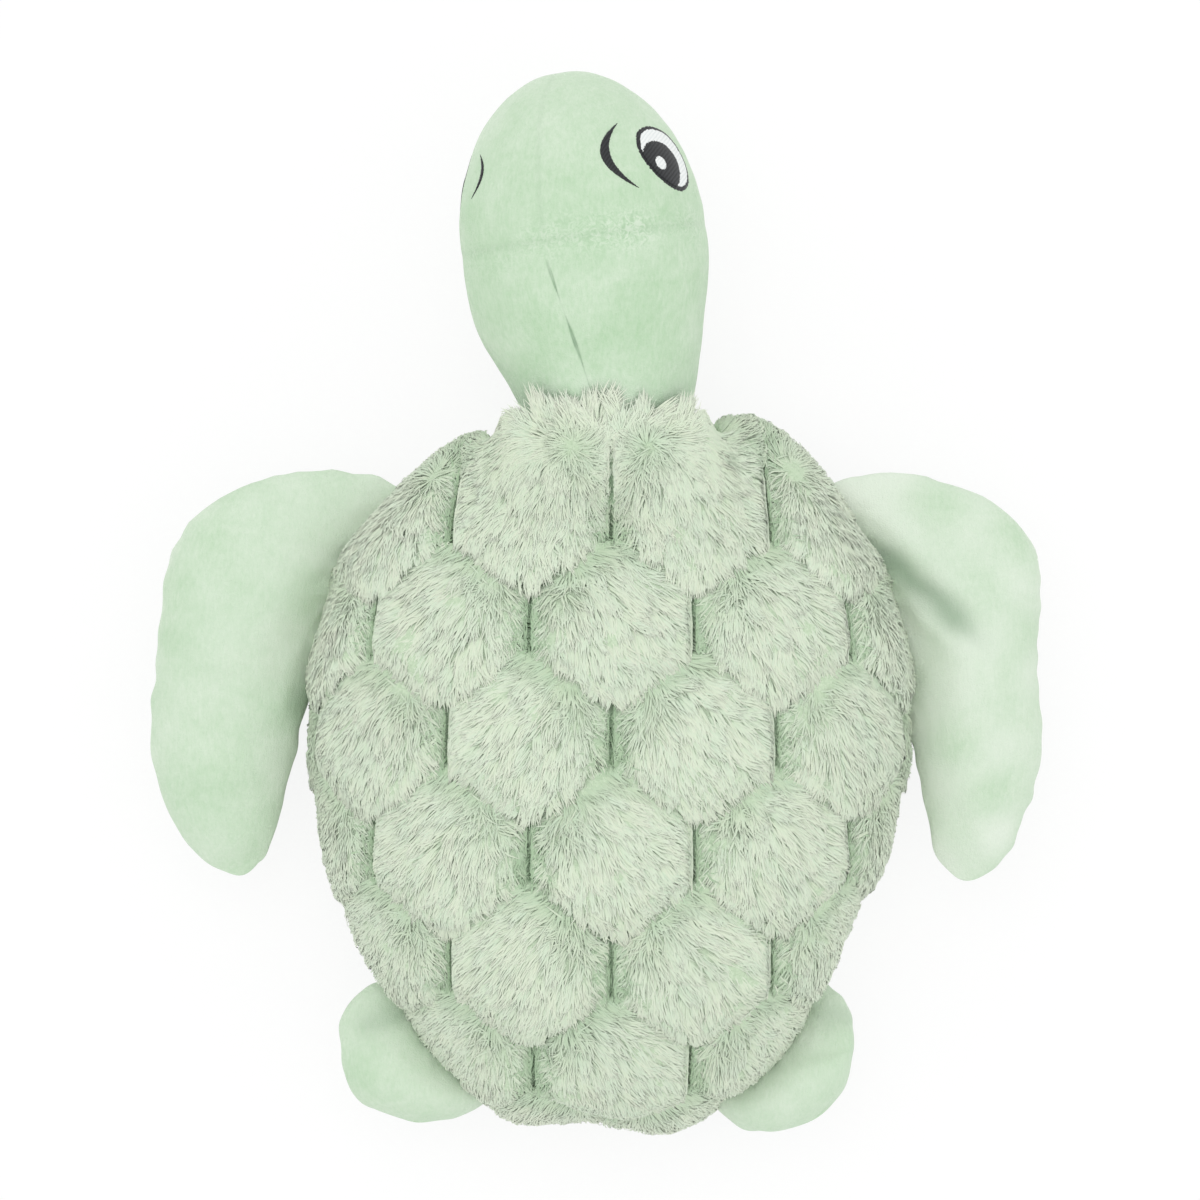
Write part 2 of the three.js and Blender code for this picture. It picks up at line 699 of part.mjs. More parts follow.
function addFlipper(name, shape, side, pose) {
  const surface = flipperSurface(shape, side, pose);
  const { rings, facets } = shape;
  const length = new THREE.CubicBezierCurve(new THREE.Vector2(), ...shape.bends).getLength();
  const shareAt = (row, depth) =>
    (1 - (1 - row / rings) ** tipCrowding) * (1 - (tipInset * depth) / length);
  const face = (height, depth) => (column, row) => {
    const across = -Math.cos((Math.PI * column) / facets);
    return surface(shareAt(row, Math.min(depth, skinCloth)), across, height, depth);
  };
  const panel = (height) => slab(facets, rings, face(height, 0), face(height, skinCloth));
  const inside = skinCloth + coreGap;
  const core = [face(1, inside), face(-1, inside)];
  addPiece(toy, `${name}_top`, panel(1), "shortPile");
  addPiece(toy, `${name}_bottom`, panel(-1), "shortPile");
  addPiece(toy, `${name}_filling`, slab(facets, rings, ...core), "fibre");
}

addBody();
addSqueaker();
addHead();
for (const side of sides) {
  addEye(side);
  addBrow(side);
  addFlipper(`front_${side}_flipper`, frontFlipper, side, frontPose[side]);
  addFlipper(`rear_${side}_flipper`, rearFlipper, side, rearPose[side]);
}

export default toy;
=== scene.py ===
import bpy
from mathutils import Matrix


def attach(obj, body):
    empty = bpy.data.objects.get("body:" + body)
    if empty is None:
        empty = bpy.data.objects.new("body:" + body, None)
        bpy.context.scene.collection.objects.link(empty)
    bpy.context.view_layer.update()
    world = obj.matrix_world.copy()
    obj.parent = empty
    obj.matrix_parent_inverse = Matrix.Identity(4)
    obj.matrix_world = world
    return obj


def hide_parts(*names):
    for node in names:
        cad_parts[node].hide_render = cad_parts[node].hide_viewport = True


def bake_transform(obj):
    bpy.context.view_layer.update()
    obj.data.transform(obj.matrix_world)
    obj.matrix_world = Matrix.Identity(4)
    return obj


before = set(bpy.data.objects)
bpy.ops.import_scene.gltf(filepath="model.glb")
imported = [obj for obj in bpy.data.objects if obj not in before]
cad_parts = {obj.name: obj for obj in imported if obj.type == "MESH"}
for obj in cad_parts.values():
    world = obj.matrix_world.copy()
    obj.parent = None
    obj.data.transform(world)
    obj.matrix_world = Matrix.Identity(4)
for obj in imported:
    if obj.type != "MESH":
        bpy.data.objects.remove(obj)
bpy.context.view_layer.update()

import bpy
import math
import numpy as np

mm = 0.001


# Camera, floor and lamps

view = {
    "centre": (-4.15, 64.2),     # what the middle of the picture looks at
    "width": 452.9,              # width of the picture at the side seam
    "distance": 2600,            # a long lens from straight above
    "seamZ": 34,
}


def addCamera():
    camera = bpy.data.objects.new("camera", bpy.data.cameras.new("camera"))
    bpy.context.collection.objects.link(camera)
    x, y = view["centre"]
    camera.location = (x * mm, y * mm, (view["distance"] + view["seamZ"]) * mm)
    camera.data.lens = camera.data.sensor_width * view["distance"] / view["width"]
    camera.data.clip_start = 0.1
    camera.data.clip_end = 20
    bpy.context.scene.camera = camera


def linear(colour):
    # sRGB hex to the linear red, green, blue and alpha that a shader takes
    parts = [int(colour[i:i + 2], 16) / 255 for i in (1, 3, 5)]
    return [c / 12.92 if c <= 0.04045 else ((c + 0.055) / 1.055) ** 2.4 for c in parts] + [1.0]


def addNode(tree, kind, inputs=None, **settings):
    # One shader node with its settings, and its inputs as values or as sockets to link
    node = tree.nodes.new("ShaderNode" + kind)
    for key, value in settings.items():
        setattr(node, key, value)
    for name, value in (inputs or {}).items():
        if isinstance(value, bpy.types.NodeSocket):
            tree.links.new(value, node.inputs[name])
        else:
            node.inputs[name].default_value = value
    return node


def newMaterial(name):
    material = bpy.data.materials.new(name)
    material.use_nodes = True
    material.node_tree.nodes.clear()
    return material, material.node_tree


studio = {
    "sky": 0.84,                 # even light from all round
    "lampSize": 1.9,             # metres across
    "lamps": {"softbox": (12.5, (-0.5, 0.7, 2.2)), "fill": (4.0, (1.1, -0.6, 1.6))},    # watts and place
    "aim": (0, 0.05, 0.03),
    "floorSize": 8.0,
    "floorGlow": 0.86,           # how far the floor is seen as plain white paper
}


def addStudio():
    bpy.context.scene.view_settings.view_transform = "Standard"
    world = bpy.data.worlds.new("studio")
    world.use_nodes = True
    bpy.context.scene.world = world
    tree = world.node_tree
    tree.nodes.clear()
    rays = addNode(tree, "LightPath").outputs
    seen = addNode(tree, "Math", {0: rays["Is Camera Ray"], 1: rays["Is Glossy Ray"]}, operation="MAXIMUM")
    level = addNode(tree, "MapRange", {"Value": seen.outputs[0], "To Min": studio["sky"], "To Max": 1.0})
    sky = addNode(tree, "Background", {"Color": (1, 1, 1, 1), "Strength": level.outputs[0]})
    addNode(tree, "OutputWorld", {"Surface": sky.outputs[0]})
    for name, (power, place) in studio["lamps"].items():
        lamp = bpy.data.lights.new(name, "AREA")
        lamp.energy = power
        lamp.size = studio["lampSize"]
        holder = bpy.data.objects.new(name, lamp)
        holder.location = place
        aim = np.array(place) - np.array(studio["aim"])
        pitch = math.atan2(math.hypot(aim[0], aim[1]), aim[2])
        holder.rotation_euler = (pitch, 0, math.atan2(aim[0], -aim[1]))
        bpy.context.collection.objects.link(holder)
    material, tree = newMaterial("paper sweep")
    rays = addNode(tree, "LightPath").outputs
    paper = addNode(tree, "BsdfDiffuse", {"Color": linear("#ffffff")})
    glow = addNode(tree, "Emission", {"Color": (1, 1, 1, 1), "Strength": 1.0})
    share = addNode(tree, "Math", {0: rays["Is Camera Ray"], 1: studio["floorGlow"]}, operation="MULTIPLY")
    mixed = addNode(tree, "MixShader", {0: share.outputs[0], 1: paper.outputs[0], 2: glow.outputs[0]})
    addNode(tree, "OutputMaterial", {"Surface": mixed.outputs[0]})
    half = studio["floorSize"] / 2
    corners = [(-half, -half, 0), (half, -half, 0), (half, half, 0), (-half, half, 0)]
    mesh = bpy.data.meshes.new("floor")
    mesh.from_pydata(corners, [], [(0, 1, 2, 3)])
    mesh.materials.append(material)
    floor = bpy.data.objects.new("floor", mesh)
    bpy.context.collection.objects.link(floor)


addCamera()
addStudio()
print("camera and studio ready")


# Meshes from numpy arrays

def unit(vectors):
    return vectors / np.maximum(np.linalg.norm(vectors, axis=-1, keepdims=True), 1e-9)


def outwards(points, faces):
    # The same faces, turned over if the volume they close comes out negative
    volume = 0
    for part in faces:
        for k in range(1, part.shape[1] - 1):
            a, b, c = (points[part[:, i]] for i in (0, k, k + 1))
            volume += np.einsum("ij,ij->", a, np.cross(b, c))
    return [part[:, ::-1] for part in faces] if volume < 0 else faces


def meshPiece(name, points, faces, material, body, slot, values=None):
    # points in millimetres, faces as a list of index arrays of one size each, values for each point
    faces = outwards(points, faces)
    mesh = bpy.data.meshes.new(name)
    mesh.vertices.add(len(points))
    mesh.vertices.foreach_set("co", (points * mm).astype(np.float32).ravel())
    corners = np.concatenate([part.ravel() for part in faces]).astype(np.int32)
    sizes = np.concatenate([np.full(len(part), part.shape[1]) for part in faces])
    starts = np.concatenate([[0], np.cumsum(sizes)[:-1]]).astype(np.int32)
    mesh.loops.add(len(corners))
    mesh.loops.foreach_set("vertex_index", corners)
    mesh.polygons.add(len(sizes))
    mesh.polygons.foreach_set("loop_start", starts)
    mesh.polygons.foreach_set("use_smooth", np.full(len(sizes), True))
    mesh.update(calc_edges=True)
    for key, numbers in (values or {}).items():
        layer = mesh.attributes.new(key, "FLOAT", "POINT")
        layer.data.foreach_set("value", numbers.astype(np.float32).ravel())
    mesh.materials.append(material)
    piece = bpy.data.objects.new(name, mesh)
    bpy.context.collection.objects.link(piece)
    if body:
        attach(piece, body)
    return piece


def gridFaces(rows, columns, wrap=False):
    # Four-sided faces of a grid of points, row after row
    row = np.arange(rows - 1)[:, None]
    column = np.arange(columns if wrap else columns - 1)[None, :]
    after = (column + 1) % columns
    corners = [row * columns + column, row * columns + after,
               (row + 1) * columns + after, (row + 1) * columns + column]
    return np.stack(corners, -1).reshape(-1, 4)


def closedTube(rings):
    # A grid of rings closed round, with a pole at the middle of its first and last ring
    rows, columns = rings.shape[:2]
    points = np.concatenate([rings.reshape(-1, 3), [rings[0].mean(0)], [rings[-1].mean(0)]])
    first = np.arange(columns)
    last = (rows - 1) * columns + first
    fans = [np.stack([np.full(columns, rows * columns), np.roll(first, -1), first], -1),
            np.stack([np.full(columns, rows * columns + 1), last, np.roll(last, -1)], -1)]
    return points, [gridFaces(rows, columns, True), np.concatenate(fans)]


def tubePiece(name, grid, material, body, slot, values=None):
    # A piece from a grid of rings, with values on the grid and 0 at both poles
    values = {key: np.concatenate([part.ravel(), [0, 0]]) for key, part in (values or {}).items()}
    return meshPiece(name, *closedTube(grid), material, body, slot, values)


def gridNormals(grid):
    # Outward unit normals of a grid of rings, from the steps to the neighbours on both sides
    normal = unit(np.cross(np.gradient(grid, axis=0), np.roll(grid, -1, 1) - np.roll(grid, 1, 1)))
    facing = np.sum(normal * (grid - grid.mean(1, keepdims=True)))
    return normal if facing > 0 else -normal


def lumps(points, size, seed, count=24):
    # Soft uneven stuffing: a sum of waves of random direction, -1 to 1, about one size apart
    draw = np.random.default_rng(seed)
    waves = draw.normal(size=(count, 3))
    paces = 2 * math.pi / size * draw.uniform(0.6, 1.5, (count, 1))
    waves *= paces / np.linalg.norm(waves, axis=1, keepdims=True)
    phases = draw.uniform(0, 2 * math.pi, count)
    flat = points.reshape(-1, 3)
    total = np.zeros(len(flat))
    for wave, phase in zip(waves, phases):
        total += np.sin(flat @ wave + phase)
    return (total / math.sqrt(count / 2) / 2).reshape(points.shape[:-1])


def smoothThrough(stations, values, place):
    # A smooth curve through values at given stations: cubic pieces with matched slopes
    stations, values = np.asarray(stations, float), np.asarray(values, float)
    slopes = np.gradient(values) / np.gradient(stations)
    k = np.clip(np.searchsorted(stations, place, "right") - 1, 0, len(stations) - 2)
    run, rise = stations[k + 1] - stations[k], values[k + 1] - values[k]
    t = (place - stations[k]) / run
    start, end = slopes[k] * run, slopes[k + 1] * run
    return values[k] + t * (start + t * (3 * rise - 2 * start - end + t * (start + end - 2 * rise)))


def ease(x, low, high):
    # 0 below low, 1 above high and smooth between them
    t = np.clip((x - low) / (high - low), 0, 1)
    return t * t * (3 - 2 * t)


# Materials

def ramp(tree, factor, stops):
    # A colour ramp from a list of places and colours
    node = addNode(tree, "ValToRGB", {"Fac": factor})
    elements = node.color_ramp.elements
    while len(elements) < len(stops):
        elements.new(0.5)
    for element, (place, colour) in zip(elements, stops):
        element.position = place
        element.color = linear(colour)
    return node.outputs["Color"]


def layered(tree, colour, layers):
    # A colour with others mixed over it in turn, each by a share of its own
    for share, over in layers:
        mixed = addNode(tree, "Mix", {"Factor": share, "A": colour, "B": over}, data_type="RGBA")
        colour = mixed.outputs["Result"]
    return colour


def finished(material, colour, relief, shader):
    # The surface, from its colour, its relief's heights, strength and depth, and the shader's other inputs
    tree = material.node_tree
    if relief:
        height, strength, depth = relief
        bump = addNode(tree, "Bump", {"Height": height, "Strength": strength, "Distance": depth * mm})
        shader = {**shader, "Normal": bump.outputs[0]}
    surface = addNode(tree, "BsdfPrincipled", {"Base Color": colour, **shader})
    addNode(tree, "OutputMaterial", {"Surface": surface.outputs[0]})
    return material


def shortPile():
    # Minky plush: dense 2 mm polyester pile, brushed one way. It looks velvety: matt and mint green
    # where seen square on, paler along the edges, and deeper green where the pile parts at a seam. That
    # deeper green is also painted shade in the flippers' creases, and a pale mix is painted highlight.
    material, tree = newMaterial("minky plush")
    place = addNode(tree, "TexCoord").outputs["Object"]
    strokes = [1 / (size * mm) for size in (1.3, 4, 1.3)]
    brush = addNode(tree, "Mapping", {"Vector": place, "Scale": strokes})
    textures = (
        {"Vector": place, "Scale": 1 / (22 * mm), "Detail": 4, "Roughness": 0.6, "Distortion": 0.6},
        {"Vector": brush.outputs[0], "Scale": 1.0, "Detail": 4, "Roughness": 0.65},
        {"Vector": place, "Scale": 1 / (0.55 * mm), "Detail": 2},
        {"Vector": place, "Scale": 1 / (2.6 * mm), "Detail": 4, "Distortion": 2.2},
    )
    cloud, nap, fuzz, curl = (addNode(tree, "TexNoise", inputs).outputs["Fac"] for inputs in textures)
    tousled, pressed, seam = (addNode(tree, "Attribute", attribute_name=key).outputs["Fac"]
                              for key in ("tousled", "pressed", "seam"))
    base = ramp(tree, cloud, [(0.32, "#b2d3ad"), (0.5, "#c2dcbd"), (0.68, "#d2e5cd")])
    brushed = ramp(tree, nap, [(0.35, "#b7d4b2"), (0.5, "#c6dcc1"), (0.68, "#d4e5cf")])
    curls = ramp(tree, curl, [(0.36, "#a9c9a5"), (0.5, "#c6dfc1"), (0.62, "#e2eedd")])
    ruffled = addNode(tree, "Math", {0: tousled, 1: 0.55}, operation="MULTIPLY")
    # Over the plush in turn: its brushed nap, and curls where it is tousled. Then a pale colour painted on
    # as painted highlight, and a deeper green: the seams' own line on the head, and painted shade in the
    # flippers' creases
    colour = layered(tree, base, [(0.45, brushed), (ruffled.outputs[0], curls),
                                  (pressed, linear("#eaf2e6")), (seam, linear("#6f8f70"))])
    fine = addNode(tree, "Math", {0: nap, 1: fuzz}, operation="ADD")
    heights = addNode(tree, "Math", {0: curl, 1: tousled, 2: fine.outputs[0]}, operation="MULTIPLY_ADD")
    return finished(material, colour, (heights.outputs[0], 0.5, 0.5), {
        "Roughness": 0.9, "Specular IOR Level": 0.2, "Sheen Weight": 0.5, "Sheen Roughness": 0.4,
        "Sheen Tint": linear("#e8efe6")})


def longPile():
    # Long faux fur: 12 to 15 mm polyester fibre in soft locks, a little deeper green at the roots than
    # at the tips, with each lock slightly lighter or darker than the next. The warmer, paler colours are
    # also painted light down the sides and in the fringe, and the dark green is painted shade.
    material, tree = newMaterial("long pile fur")
    along, tone, painted_shade = (addNode(tree, "Attribute", attribute_name=key).outputs["Fac"]
                         for key in ("along", "tone", "painted_shade"))
    cool = ramp(tree, along, [(0.0, "#b6d1b1"), (0.3, "#d0e3ca"), (0.7, "#d7e6d0"), (1.0, "#e1ebda")])
    warm = ramp(tree, along, [(0.0, "#b6cdac"), (0.3, "#d6e4c9"), (0.7, "#dfe8d2"), (1.0, "#eaeedd")])
    return finished(material, layered(tree, cool, [(tone, warm), (painted_shade, linear("#9ebd97"))]), None, {
        "Roughness": 0.85, "Specular IOR Level": 0.15, "Sheen Weight": 0.3, "Sheen Roughness": 0.4,
        "Sheen Tint": linear("#eef3ea")})


def densePile():
    # The dense lower part of the faux fur with its knitted backing: streaky pale green, and curlier where
    # it is short. It is painted darker beside and in the slits and under the plates' edges, as painted
    # shade.
    material, tree = newMaterial("dense fur pile")
    place = addNode(tree, "TexCoord").outputs["Object"]
    painted_shade = addNode(tree, "Attribute", attribute_name="painted_shade").outputs["Fac"]
    curl = addNode(tree, "TexNoise", {"Vector": place, "Scale": 1 / (1.6 * mm), "Detail": 4,
                                      "Distortion": 1.2}).outputs["Fac"]
    pale = ramp(tree, curl, [(0.3, "#bcd1b2"), (0.55, "#c9dcbf"), (0.75, "#d5e4cb")])
    # The darker colour, painted in as painted shade
    dark = ramp(tree, curl, [(0.3, "#8fae8c"), (0.6, "#b2ccab"), (0.75, "#c8dcc0")])
    return finished(material, layered(tree, pale, [(painted_shade, dark)]), (curl, 0.7, 0.8), {
        "Roughness": 0.95, "Specular IOR Level": 0.1, "Sheen Weight": 0.3, "Sheen Roughness": 0.4})


def satinThread(name, dark, light):
    # Rayon embroidery thread in satin stitch: close parallel strands, drawn 0.6 mm apart so that they show,
    # with a soft silky gloss.
    material, tree = newMaterial(name)
    place = addNode(tree, "TexCoord").outputs["Object"]
    turned = addNode(tree, "Mapping", {"Vector": place, "Rotation": (0, 0, math.radians(35))})
    strand = addNode(tree, "TexWave", {"Vector": turned.outputs[0], "Scale": 1 / (0.6 * mm) / 6.28,
                                       "Distortion": 1.5, "Detail": 2, "Detail Scale": 3}).outputs["Fac"]
    return finished(material, ramp(tree, strand, [(0.1, dark), (0.7, light)]), (strand, 0.5, 0.2), {
        "Roughness": 0.5, "Specular IOR Level": 0.35, "Sheen Weight": 0.1})


def clouded(name, stops, cloud, grain, strength, depth, shader):
    # Colour from one noise and relief from another, each as its size, detail and distortion
    material, tree = newMaterial(name)
    place = addNode(tree, "TexCoord").outputs["Object"]
    noises = []
    for size, detail, distortion in (cloud, grain):
        inputs = {"Vector": place, "Scale": 1 / (size * mm), "Detail": detail, "Distortion": distortion}
        noises.append(addNode(tree, "TexNoise", inputs).outputs["Fac"])
    return finished(material, ramp(tree, noises[0], stops), (noises[1], strength, depth), shader)


def mouldedPlastic(name, dark, light, roughness):
    # Soft PVC or hard ABS from a mould: even, slightly uneven in gloss, milky.
    return clouded(name, [(0.35, dark), (0.65, light)], (9, 2, 0), (0.6, 2, 0), 0.15, 0.1,
                   {"Roughness": roughness, "IOR": 1.53})


plush = shortPile()
fur = longPile()
backing = densePile()
blackThread = satinThread("black rayon thread", "#17191b", "#2a2c2f")
whiteThread = satinThread("white rayon thread", "#e4e9e8", "#f3f6f5")
casePlastic = mouldedPlastic("blow-moulded PVC", "#dcdcd5", "#ebebe6", 0.4)
reedPlastic = mouldedPlastic("moulded ABS", "#cfd0c9", "#dcddd6", 0.3)
# Hollow polyester fibre filling: white, crimped and matt
fibre = clouded("polyester fibre filling", [(0.3, "#dededa"), (0.7, "#f8f8f5")], (5, 6, 2.5), (5, 6, 2.5),
                0.9, 1.5, {"Roughness": 1.0, "Sheen Weight": 0.3})

insideFinish = {"filling": fibre, "squeaker_case": casePlastic, "squeaker_reed": reedPlastic}
for name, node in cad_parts.items():
    for key, finish in insideFinish.items():
        if name.endswith(key):
            node.data.materials.clear()
            node.data.materials.append(finish)
print("materials ready")


# Body: the outline from above, and the curved back over it

body = {
    "centreY": -5,
    "radii": [119, 134, 132, 119, 108, 105, 110, 121, 125],   # nose to tail, every 22.5 degrees
    "seamZ": 34,
    "domeHeight": 69.5,          # backing cloth over the side seam, under the pile
    "domeRoundness": 2.4,
    "pileInset": 2.4,            # how far the backing lies inside the pile's outline
}


def outlineRadius(angle):
    # Distance from the body's centre to the outline of its pile; both sides are alike
    tilt = np.degrees(np.arcsin(np.sin(angle)))
    stations = np.linspace(-90, 90, len(body["radii"]))
    return smoothThrough(stations, body["radii"][::-1], tilt)


def fromCentre(gx, gy):
    # Direction and distance from the body's centre, and how far the backing reaches in that direction
    up = gy - body["centreY"]
    angle = np.arctan2(up, gx)
    return angle, np.hypot(gx, up), outlineRadius(angle) - body["pileInset"]


def meridianTable(count=2000):
    # The back's profile from its top to the side seam: plan share, height share, normal and arc length
    turn = np.linspace(0, math.pi / 2, count)
    power = 2 / body["domeRoundness"]
    plan, height = np.sin(turn) ** power, np.cos(turn) ** power
    meanRadius = np.mean(body["radii"]) - body["pileInset"]
    x, z = plan * meanRadius, height * body["domeHeight"]
    arc = np.concatenate([[0], np.cumsum(np.hypot(np.diff(x), np.diff(z)))])
    dx, dz = np.gradient(x), np.gradient(z)
    size = np.hypot(dx, dz)
    return {"radius": meanRadius, "arc": arc, "plan": plan, "height": height,
            "out": -dz / size, "up": dx / size}


meridian = meridianTable()
rimArc = meridian["arc"][-1]


def backSpot(gx, gy, height):
    # The pattern lies flat on the middle of the back and follows it down the sides without stretching:
    # a point goes the same distance along the back, in the same direction from its top, as on the pattern.
    angle, flat, radius = fromCentre(gx, gy)
    arc = flat * meridian["radius"] / radius
    read = {key: np.interp(arc, meridian["arc"], meridian[key]) for key in ("plan", "height", "out", "up")}
    reach = read["plan"] * radius + height * read["out"]
    z = body["seamZ"] + read["height"] * body["domeHeight"] + height * read["up"]
    z = z - np.maximum(arc - rimArc, 0)
    return np.stack([np.cos(angle) * reach, body["centreY"] + np.sin(angle) * reach, z], -1)


def crowding(gx, gy):
    # How much closer together points lie across the slope than on the pattern, and the share of the way
    # from the back's top to its side seam
    _, flat, radius = fromCentre(gx, gy)
    arc = flat * meridian["radius"] / radius
    plan = np.interp(arc, meridian["arc"], meridian["plan"]) * radius
    return plan / np.maximum(flat, 1e-6), arc / rimArc


# Head and neck: a surface of revolution, leaning left and rolled onto its own left side

head = {
    "pivot": (0, 116, 52),
    "lean": 7.2,
    "roll": -20,
    "neckRadius": 31,
    "neckLength": 83.4,          # from the pivot to the cross seam
    "neckFullness": 1.15,
    "radius": 46.2,
    "crownLength": 63.7,
    "flatness": 0.92,
    "rootAngle": 70,
    "cheekAngle": 115,           # from the top round to the chin's seams
    "napeStart": 75,             # how far ahead of the pivot the nape's seam begins to show
    "napeRun": 49,               # over this distance it wanders round by napeDrift
    "napeDrift": 12.5,
    "napeEnd": (22, 30),         # and it fades out between these, under the back's pile
    "wobble": 0.35,              # unevenness of its stitches
    "bendStart": 16,             # the cloth twists between these distances ahead of the pivot
    "bendEnd": 92,
    "wall": 1.8,                 # cloth and pile over the filling
    "slimAngle": -70,            # round its base, on the left, the neck is drawn in this far
    "slimSpread": 45,
    "slimEnd": (22, 60),
    "slim": 3.4,
    "ease": 0.35,                # stuffing holds the cloth this far out from the pattern
    "columns": 380,
}
# Dips beside the seams: width and depth of the soft one, and of the stitched line in its middle
seamDips = {
    "crown": ((5, 0.25), (1.2, 0.08)),
    "nape": ((6, 0.45), (0.5, 0.25)),
    "cheek": ((4, 0.35), (1.0, 0.4)),
    "cross": ((7, 0.4), (1.4, 0.12)),
}


def headMatrix():
    lean, roll = math.radians(head["lean"]), math.radians(head["roll"])
    turn = np.array([[math.cos(lean), -math.sin(lean), 0], [math.sin(lean), math.cos(lean), 0], [0, 0, 1]])
    tip = np.array([[math.cos(roll), 0, math.sin(roll)], [0, 1, 0], [-math.sin(roll), 0, math.cos(roll)]])
    return turn @ tip


headTurn = headMatrix()
headPivot = np.array(head["pivot"], float)


def neckShape(share):
    # The neck's swell and its radius, from 0 at the cross seam to 1 at its base
    swell = (1 + np.cos(math.pi * share ** head["neckFullness"])) / 2
    return swell, head["neckRadius"] + (head["radius"] - head["neckRadius"]) * swell


def headProfile(arc):
    # Distance ahead of the pivot, radius and flatness along the head. The first unit of arc is the crown,
    # a half egg from the nose to the cross seam, the next the neck, and the rest its round end in the body
    crown = np.clip(arc, 0, 1) * math.pi / 2
    share = np.clip(arc - 1, 0, 1)
    end = np.clip(arc - 2, 0, 1) * math.radians(head["rootAngle"])
    swell, neckRadius = neckShape(share)
    ahead = np.where(arc <= 1, head["neckLength"] + head["crownLength"] * np.cos(crown),
                     np.where(arc <= 2, head["neckLength"] * (1 - share), -head["neckRadius"] * np.sin(end)))
    radius = np.where(arc <= 1, head["radius"] * np.sin(crown),
                      np.where(arc <= 2, neckRadius, head["neckRadius"] * np.cos(end)))
    flat = np.where(arc <= 1, head["flatness"], 1 + (head["flatness"] - 1) * swell)
    return ahead, radius, flat


def onHead(ahead, radius, flat, turn):
    # From the head's own axes to the toy's
    local = np.stack([radius * np.sin(turn), ahead + 0 * turn, radius * flat * np.cos(turn)], -1)
    return local @ headTurn.T + headPivot


def valley(distance, width, depth):
    return -depth * np.exp(-(distance / width) ** 2)


def headSeams(ahead, radius, turn):
    # Distances in millimetres to the crown's and the nape's midlines, the cheeks' seams and the cross seam
    back, far = ahead < head["neckLength"], 99
    drift = math.radians(head["napeDrift"]) * np.clip((head["napeStart"] - ahead) / head["napeRun"], 0, 1.4)
    middle = radius * np.abs(turn - np.where(back, drift, 0))
    middle = middle + np.where(back, head["wobble"] * np.sin(ahead / 4.1), 0)
    nape = np.hypot(middle, np.maximum(ahead - head["napeStart"], 0))
    return {"crown": np.where(back, far, middle), "nape": np.where(back, nape, far),
            "cheek": radius * np.abs(np.abs(turn) - math.radians(head["cheekAngle"])),
            "cross": np.abs(ahead - head["neckLength"])}


def headRelief(ahead, radius, turn, points):
    # Soft seams over uneven stuffing, and the neck drawn in round its base
    relief = head["ease"] + 0.45 * lumps(points, 42, 3) + 0.15 * lumps(points, 12, 4)
    for key, distance in headSeams(ahead, radius, turn).items():
        soft, stitched = seamDips[key]
        shown = ease(ahead, *head["napeEnd"]) if key == "nape" else 1
        relief = relief + valley(distance, *soft) + valley(distance, *stitched) * shown
    slim = head["slim"] * (1 - ease(ahead, *head["slimEnd"]))
    return relief + valley(turn - math.radians(head["slimAngle"]), math.radians(head["slimSpread"]), slim)


def crowded(places, centres, reach, gain):
    # Places from 0 to 1, set closer together near the given centres
    fine = np.linspace(0, 1, 4000)
    weight = 1 + gain * sum(np.exp(-((fine - c) / reach) ** 2) for c in centres)
    total = np.concatenate([[0], np.cumsum((weight[1:] + weight[:-1]) / 2)])
    return np.interp(places * total[-1], total, fine)


def addHeadSkin():
    arc = np.concatenate([np.linspace(0.02, 1, 76)[:-1], np.linspace(1, 2, 72)[:-1], np.linspace(2, 3, 16)])
    cheek, drift = head["cheekAngle"] / 360, head["napeDrift"] / 360
    even = np.arange(head["columns"]) / head["columns"]
    turns = crowded(even, (0, drift / 2, drift, cheek, 1 - cheek, 1), 0.012, 4) * 2 * math.pi
    turns = np.where(turns > math.pi, turns - 2 * math.pi, turns)
    ahead, radius, flat = (part[:, None] for part in headProfile(arc))
    base = onHead(ahead, radius, flat, turns)
    ahead = ahead + 0 * turns
    normals = gridNormals(base)
    grid = base + normals * headRelief(ahead, radius, turns, base)[..., None]
    # The pile parts along the nape's stitches and is tousled along the cross seam. Towards the nose it is
    # painted paler, as painted highlight on the crown's top
    seams, fromStart = headSeams(ahead, radius, turns), head["napeStart"] - ahead
    closing = (0.45 + 0.45 * ease(fromStart, 0, 14)) * ease(ahead, *head["napeEnd"])
    thin = 0.26 + 0.12 * ease(fromStart, 8, 36)
    seam = (0.85 + 0.3 * lumps(base, 5, 8)) * closing * np.exp(-(seams["nape"] / thin) ** 2)
    seam += 0.07 * np.exp(-(seams["crown"] / 1.2) ** 2)
    seam = np.maximum(seam, 0.4 * np.exp(-(seams["cheek"] / 0.8) ** 2))
    seam = np.maximum(seam, 0.1 * np.exp(-(seams["cross"] / 1.6) ** 2))
    tousled = np.exp(-((seams["cross"] + 1.5 * lumps(base, 20, 6)) / 9) ** 2)
    tousled = np.clip(tousled * (0.7 + 0.5 * lumps(base, 30, 7)), 0, 1)
    values = {"seam": seam, "tousled": tousled, "pressed": 0.2 * ease(ahead, 95, 140)}
    piece = tubePiece("head_skin", grid, plush, None, "short_pile", values)
    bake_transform(piece)
    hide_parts("crown_left", "crown_right", "nape_left", "nape_right", "throat", "chin")
    inner = (grid - normals * head["wall"])[3:-2:2, ::2]
    stuffing = tubePiece("head_fibre", inner, fibre, None, "fibre")
    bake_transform(stuffing)
    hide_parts("head_filling", "neck_filling")


addHeadSkin()
print("head ready")


# Eyes and brows: layers of satin stitch on the crown, in a frame slanted to it

